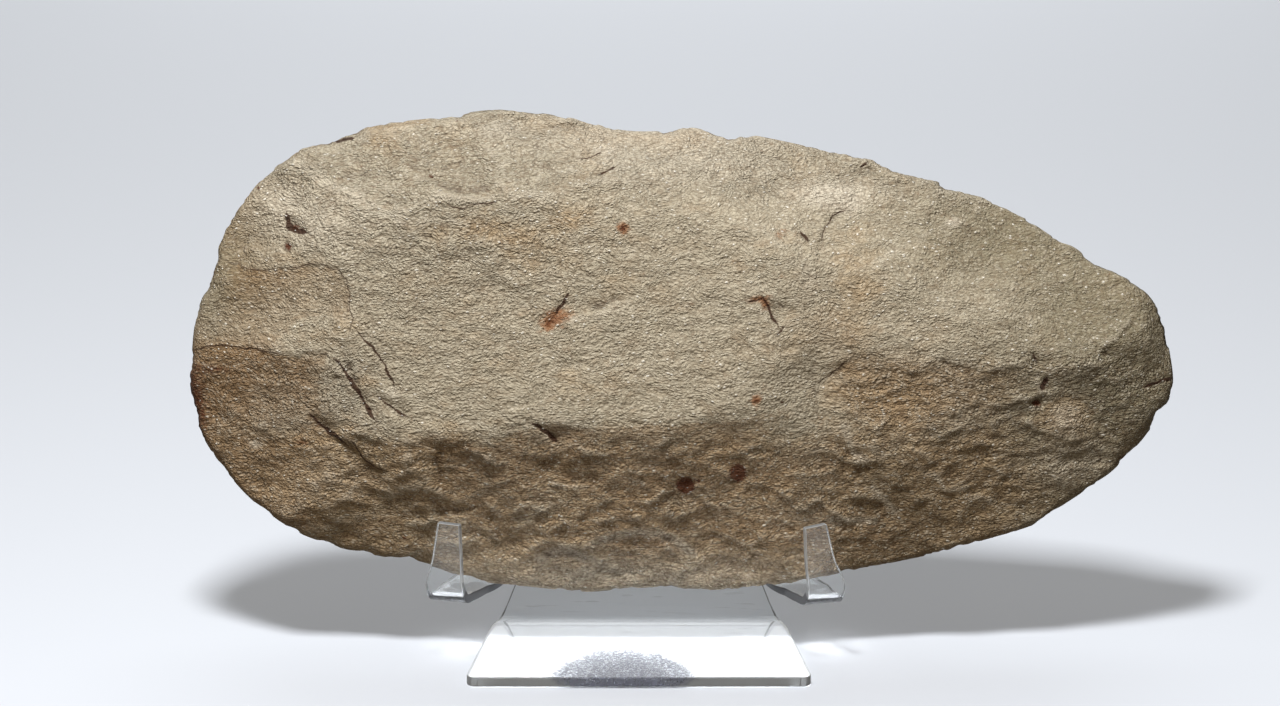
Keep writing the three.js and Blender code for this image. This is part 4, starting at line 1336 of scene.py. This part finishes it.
# %% Make the three one solid
for other in (left_arm, right_arm):
    joining = stand_body.modifiers.new("join_" + other.name, "BOOLEAN")
    joining.operation = "UNION"
    joining.solver = "EXACT"
    joining.object = other
bpy.context.view_layer.update()
whole_stand = bpy.data.meshes.new_from_object(
    stand_body.evaluated_get(bpy.context.evaluated_depsgraph_get())
)
stand_body.modifiers.clear()
stand_body.data = whole_stand
stand_body.name = "stand_acrylic"
for other in (left_arm, right_arm):
    bpy.data.objects.remove(other)
whole_stand.shade_smooth()
weighted = stand_body.modifiers.new("even_flats", "WEIGHTED_NORMAL")
weighted.weight = 100
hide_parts("display_stand")
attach(stand_body, "root")
print("stand faces:", len(whole_stand.polygons))

# %% Find each point's edge shade again
stand_points = np.empty(3 * len(whole_stand.vertices), np.float32)
whole_stand.vertices.foreach_get("co", stand_points)
stand_points = stand_points.reshape(-1, 3)


def place_key(points):
    """One whole number for each place: its coordinates in tenths of a micrometre, in a row."""
    steps = np.round(points.astype(np.float32).astype(float) * 1e7).astype(np.int64)
    return (steps[:, 0] * 2**21 + steps[:, 1]) * 2**21 + steps[:, 2]


known = place_key(np.concatenate(strap_points))
sorted_known = np.argsort(known)
wanted = place_key(stand_points)
found = np.searchsorted(known[sorted_known], wanted).clip(0, len(known) - 1)
found = sorted_known[found]
same = known[found] == wanted
cut_edge = np.where(same, np.concatenate(strap_shades)[found], 0).astype(np.float32)
whole_stand.attributes.new("cut_edge", "FLOAT", "POINT").data.foreach_set("value", cut_edge)
print("points found again:", int(same.sum()), "of", len(same))
stand_box = np.array([stand_points.min(axis=0), stand_points.max(axis=0)], float) / MM
print("stand box in mm:", stand_box.round(2).tolist())

# %% Clear acrylic
ACRYLIC_IOR = 1.49
acrylic = Maker("clear_acrylic")
acrylic.fill({
    "Base Color": (0.97, 0.985, 0.99, 1),
    "Roughness": 0.03,
    "IOR": ACRYLIC_IOR,
    "Transmission Weight": 1.0,
    "Alpha": 1 - acrylic.node("ShaderNodeLightPath", output="Is Shadow Ray"),  # light passes
})
print("clear nodes:", len(acrylic.tree.nodes))

# %% [markdown]
# A cut edge is never as clear as the sheet. It scatters some light, so in front it shows as a
# pale grey line. Behind and under the stone, where it turns from the light, it is painted near
# black, as painted shade. The middle of the foot is dulled by fine scuffs, coloured dark grey as
# a painted reflection of the stone above them. All this is a second, milky shader that is mixed
# in where an attribute or a pattern asks for it.

# %% Milky edges with painted shade, and the foot's scuffs with a painted reflection
stand_place = acrylic.node("ShaderNodeTexCoord", output="Object")
sheet_place = acrylic.mapping("POINT", stand_place, Scale=(1 / MM,) * 3)
fine = acrylic.noise(sheet_place, 0.6, 3.0, 0.8)
# a patch in the middle of the foot: real scuffs, coloured dark grey as a painted reflection of the
# stone above
PATCH_MIDDLE = (STAND_MIDDLE - 2.6, float(foot_middle[0, 1]) - 1, SHEET)
PATCH_SIZE = (13, 17, 2.5)
patch_place = acrylic.mapping("TEXTURE", sheet_place, Location=PATCH_MIDDLE, Scale=PATCH_SIZE)
patch_away = acrylic.vector("LENGTH", patch_place, output="Value")
scuffed_reflection_patch = (patch_away + 0.5 * acrylic.noise(sheet_place, 3, 3.0, 0.7) - 0.25).smooth(1.08, 0.82)
scuffs_and_reflection = scuffed_reflection_patch * fine.smooth(0.55, 0.51)
streaks = acrylic.mapping("POINT", sheet_place, Rotation=(0.2, 0.1, 0.7), Scale=(0.12, 4.5, 1))
scratch = acrylic.noise(streaks, 1, 2.0, 0.6).smooth(0.66, 0.72)
EDGE_GREY = (0.6, 0.62, 0.63, 1)
# the scuffs' dark grey is a painted reflection of the stone
SCUFF_AND_REFLECTION_GREY = (0.16, 0.17, 0.22, 1)
# painted shade: the colour of cut edges behind and under the stone
DARK_EDGE = (0.05, 0.05, 0.055, 1)
edge = acrylic.attribute("cut_edge")
edge_colour = acrylic.mix(edge.smooth(FRONT_SHADE, BACK_SHADE), EDGE_GREY, DARK_EDGE)
milky = acrylic.node("ShaderNodeBsdfPrincipled", {}, {
    "Base Color": acrylic.mix(scuffed_reflection_patch, edge_colour, SCUFF_AND_REFLECTION_GREY),
    "Roughness": 0.35,
    "IOR": ACRYLIC_IOR,
    "Transmission Weight": 0.35,
})
milky_share = (edge * 0.85).math("MAXIMUM", scuffs_and_reflection * 0.9).math("MAXIMUM", scratch * 0.15)
mixed = acrylic.node("ShaderNodeMixShader", {}, {
    0: milky_share,
    1: Wire(acrylic, acrylic.shader.outputs["BSDF"]),
    2: milky,
})
acrylic.set(acrylic.tree.nodes["Material Output"].inputs["Surface"], mixed)
whole_stand.materials.append(acrylic.material)
print("acrylic nodes:", len(acrylic.tree.nodes))

# %% [markdown]
# ## Floor, light and camera
#
# A plain pale floor curves up into a pale wall far behind. The key light hangs high in front, so
# that it rakes down the face and draws out the grain, and a broad warm one fills in, which the
# clear stand doesn't mirror. Two more stand behind, one low and one high. The high one is what
# shines in the foot. Sharper light would draw out more grain, but would make the shadows hard.


# %% The floor
def sweep_points(width, depth, rise, radius):
    """A profile that runs back along the floor, bends up on a quarter circle and rises."""
    turn = np.linspace(0, np.pi / 2, 25)
    back = depth + radius * np.sin(turn)
    up = radius * (1 - np.cos(turn))
    profile = np.concatenate([[[-depth, 0]], np.stack([back, up], 1), [[depth + radius, rise]]])
    across = np.array([-width, width])
    x = np.repeat(across[None, :], len(profile), axis=0)
    y = np.repeat(profile[:, :1], 2, axis=1)
    z = np.repeat(profile[:, 1:], 2, axis=1)
    return np.stack([x, y, z], axis=-1), len(profile)


floor_points, floor_rows = sweep_points(width=4.0, depth=2.5, rise=3.0, radius=0.8)
UNDER_FOOT = np.array([0, 0, 0.3 * MM])  # kept clear, so that light passes under the foot
floor = build_mesh(
    "floor", floor_points.reshape(-1, 3) - UNDER_FOOT, grid_faces(floor_rows, 2, False)
)
paper = Maker("pale_paper")
paper.fill({"Base Color": (0.6, 0.63, 0.68, 1), "Roughness": 0.9})
floor.data.materials.append(paper.material)
floor.visible_diffuse = False  # the stone's shaded side stays in shade, as on a dark table
print("floor points:", floor_points.size // 3)


# %% Lights
def area_light(name, place, target, size, power, tint, mirrored=True):
    """A square soft light at a place in metres that faces a target. With mirrored off, nothing
    shows its reflection, and it isn't seen through the clear stand."""
    light = bpy.data.lights.new(name, "AREA")
    light.size = size
    light.energy = power
    light.color = tint
    thing = add_object(name, light)
    thing.location = place
    thing.visible_camera = False
    thing.visible_glossy = mirrored
    thing.visible_transmission = mirrored
    way = np.array(target) - np.array(place)
    thing.rotation_euler = (
        math.atan2(math.hypot(way[0], way[1]), -way[2]), 0, math.atan2(-way[0], way[1]),
    )


HEART = (0, 0, 0.05)
area_light("key", (-0.08, -0.28, 0.6), HEART, 0.11, 5.05, (0.98, 0.98, 0.985))
area_light("fill", (-0.2, -1.4, 0.3), HEART, 1.0, 2.4, (1, 0.87, 0.7), mirrored=False)
area_light("back", (0, 0.85, 0.24), (0, 0.1, 0.05), 0.45, 1.0, (0.97, 0.98, 1))
area_light("behind", (0, 0.6, 0.8), (0, 0.06, 0), 0.9, 4.5, (0.95, 0.98, 1))
world = bpy.data.worlds.new("pale_room")
world.use_nodes = True
world.node_tree.nodes["Background"].inputs["Color"].default_value = (1, 0.85, 0.67, 1)
world.node_tree.nodes["Background"].inputs["Strength"].default_value = 0.15
bpy.context.scene.world = world
bpy.context.scene.view_settings.view_transform = "Standard"

# %% The camera, at the angle from which the object is usually shown
ELEVATION = math.radians(15)
DISTANCE = 0.9
SCALE = 5709  # px per metre at the celt's middle, in a frame 1280 px wide
FRAME_WIDTH = 1280
SENSOR = 36.0
AIM_ASIDE = -7.2 * MM  # the frame's middle, from the celt's middle
AIM_UP = -0.35 * MM

celt_middle = (CELT_LOW + CELT_HIGH) / 2 * MM
ahead = np.array([0, math.cos(ELEVATION), -math.sin(ELEVATION)])
upward = np.array([0, math.sin(ELEVATION), math.cos(ELEVATION)])
aim = celt_middle + np.array([AIM_ASIDE, 0, 0]) + upward * AIM_UP
lens = bpy.data.cameras.new("camera")
lens.sensor_width = SENSOR
lens.lens = SCALE * DISTANCE / FRAME_WIDTH * SENSOR
camera = add_object("camera", lens)
camera.location = aim - ahead * DISTANCE
camera.rotation_euler = (math.pi / 2 - ELEVATION, 0, 0)
bpy.context.scene.camera = camera
print("camera lens in mm:", round(lens.lens, 1))
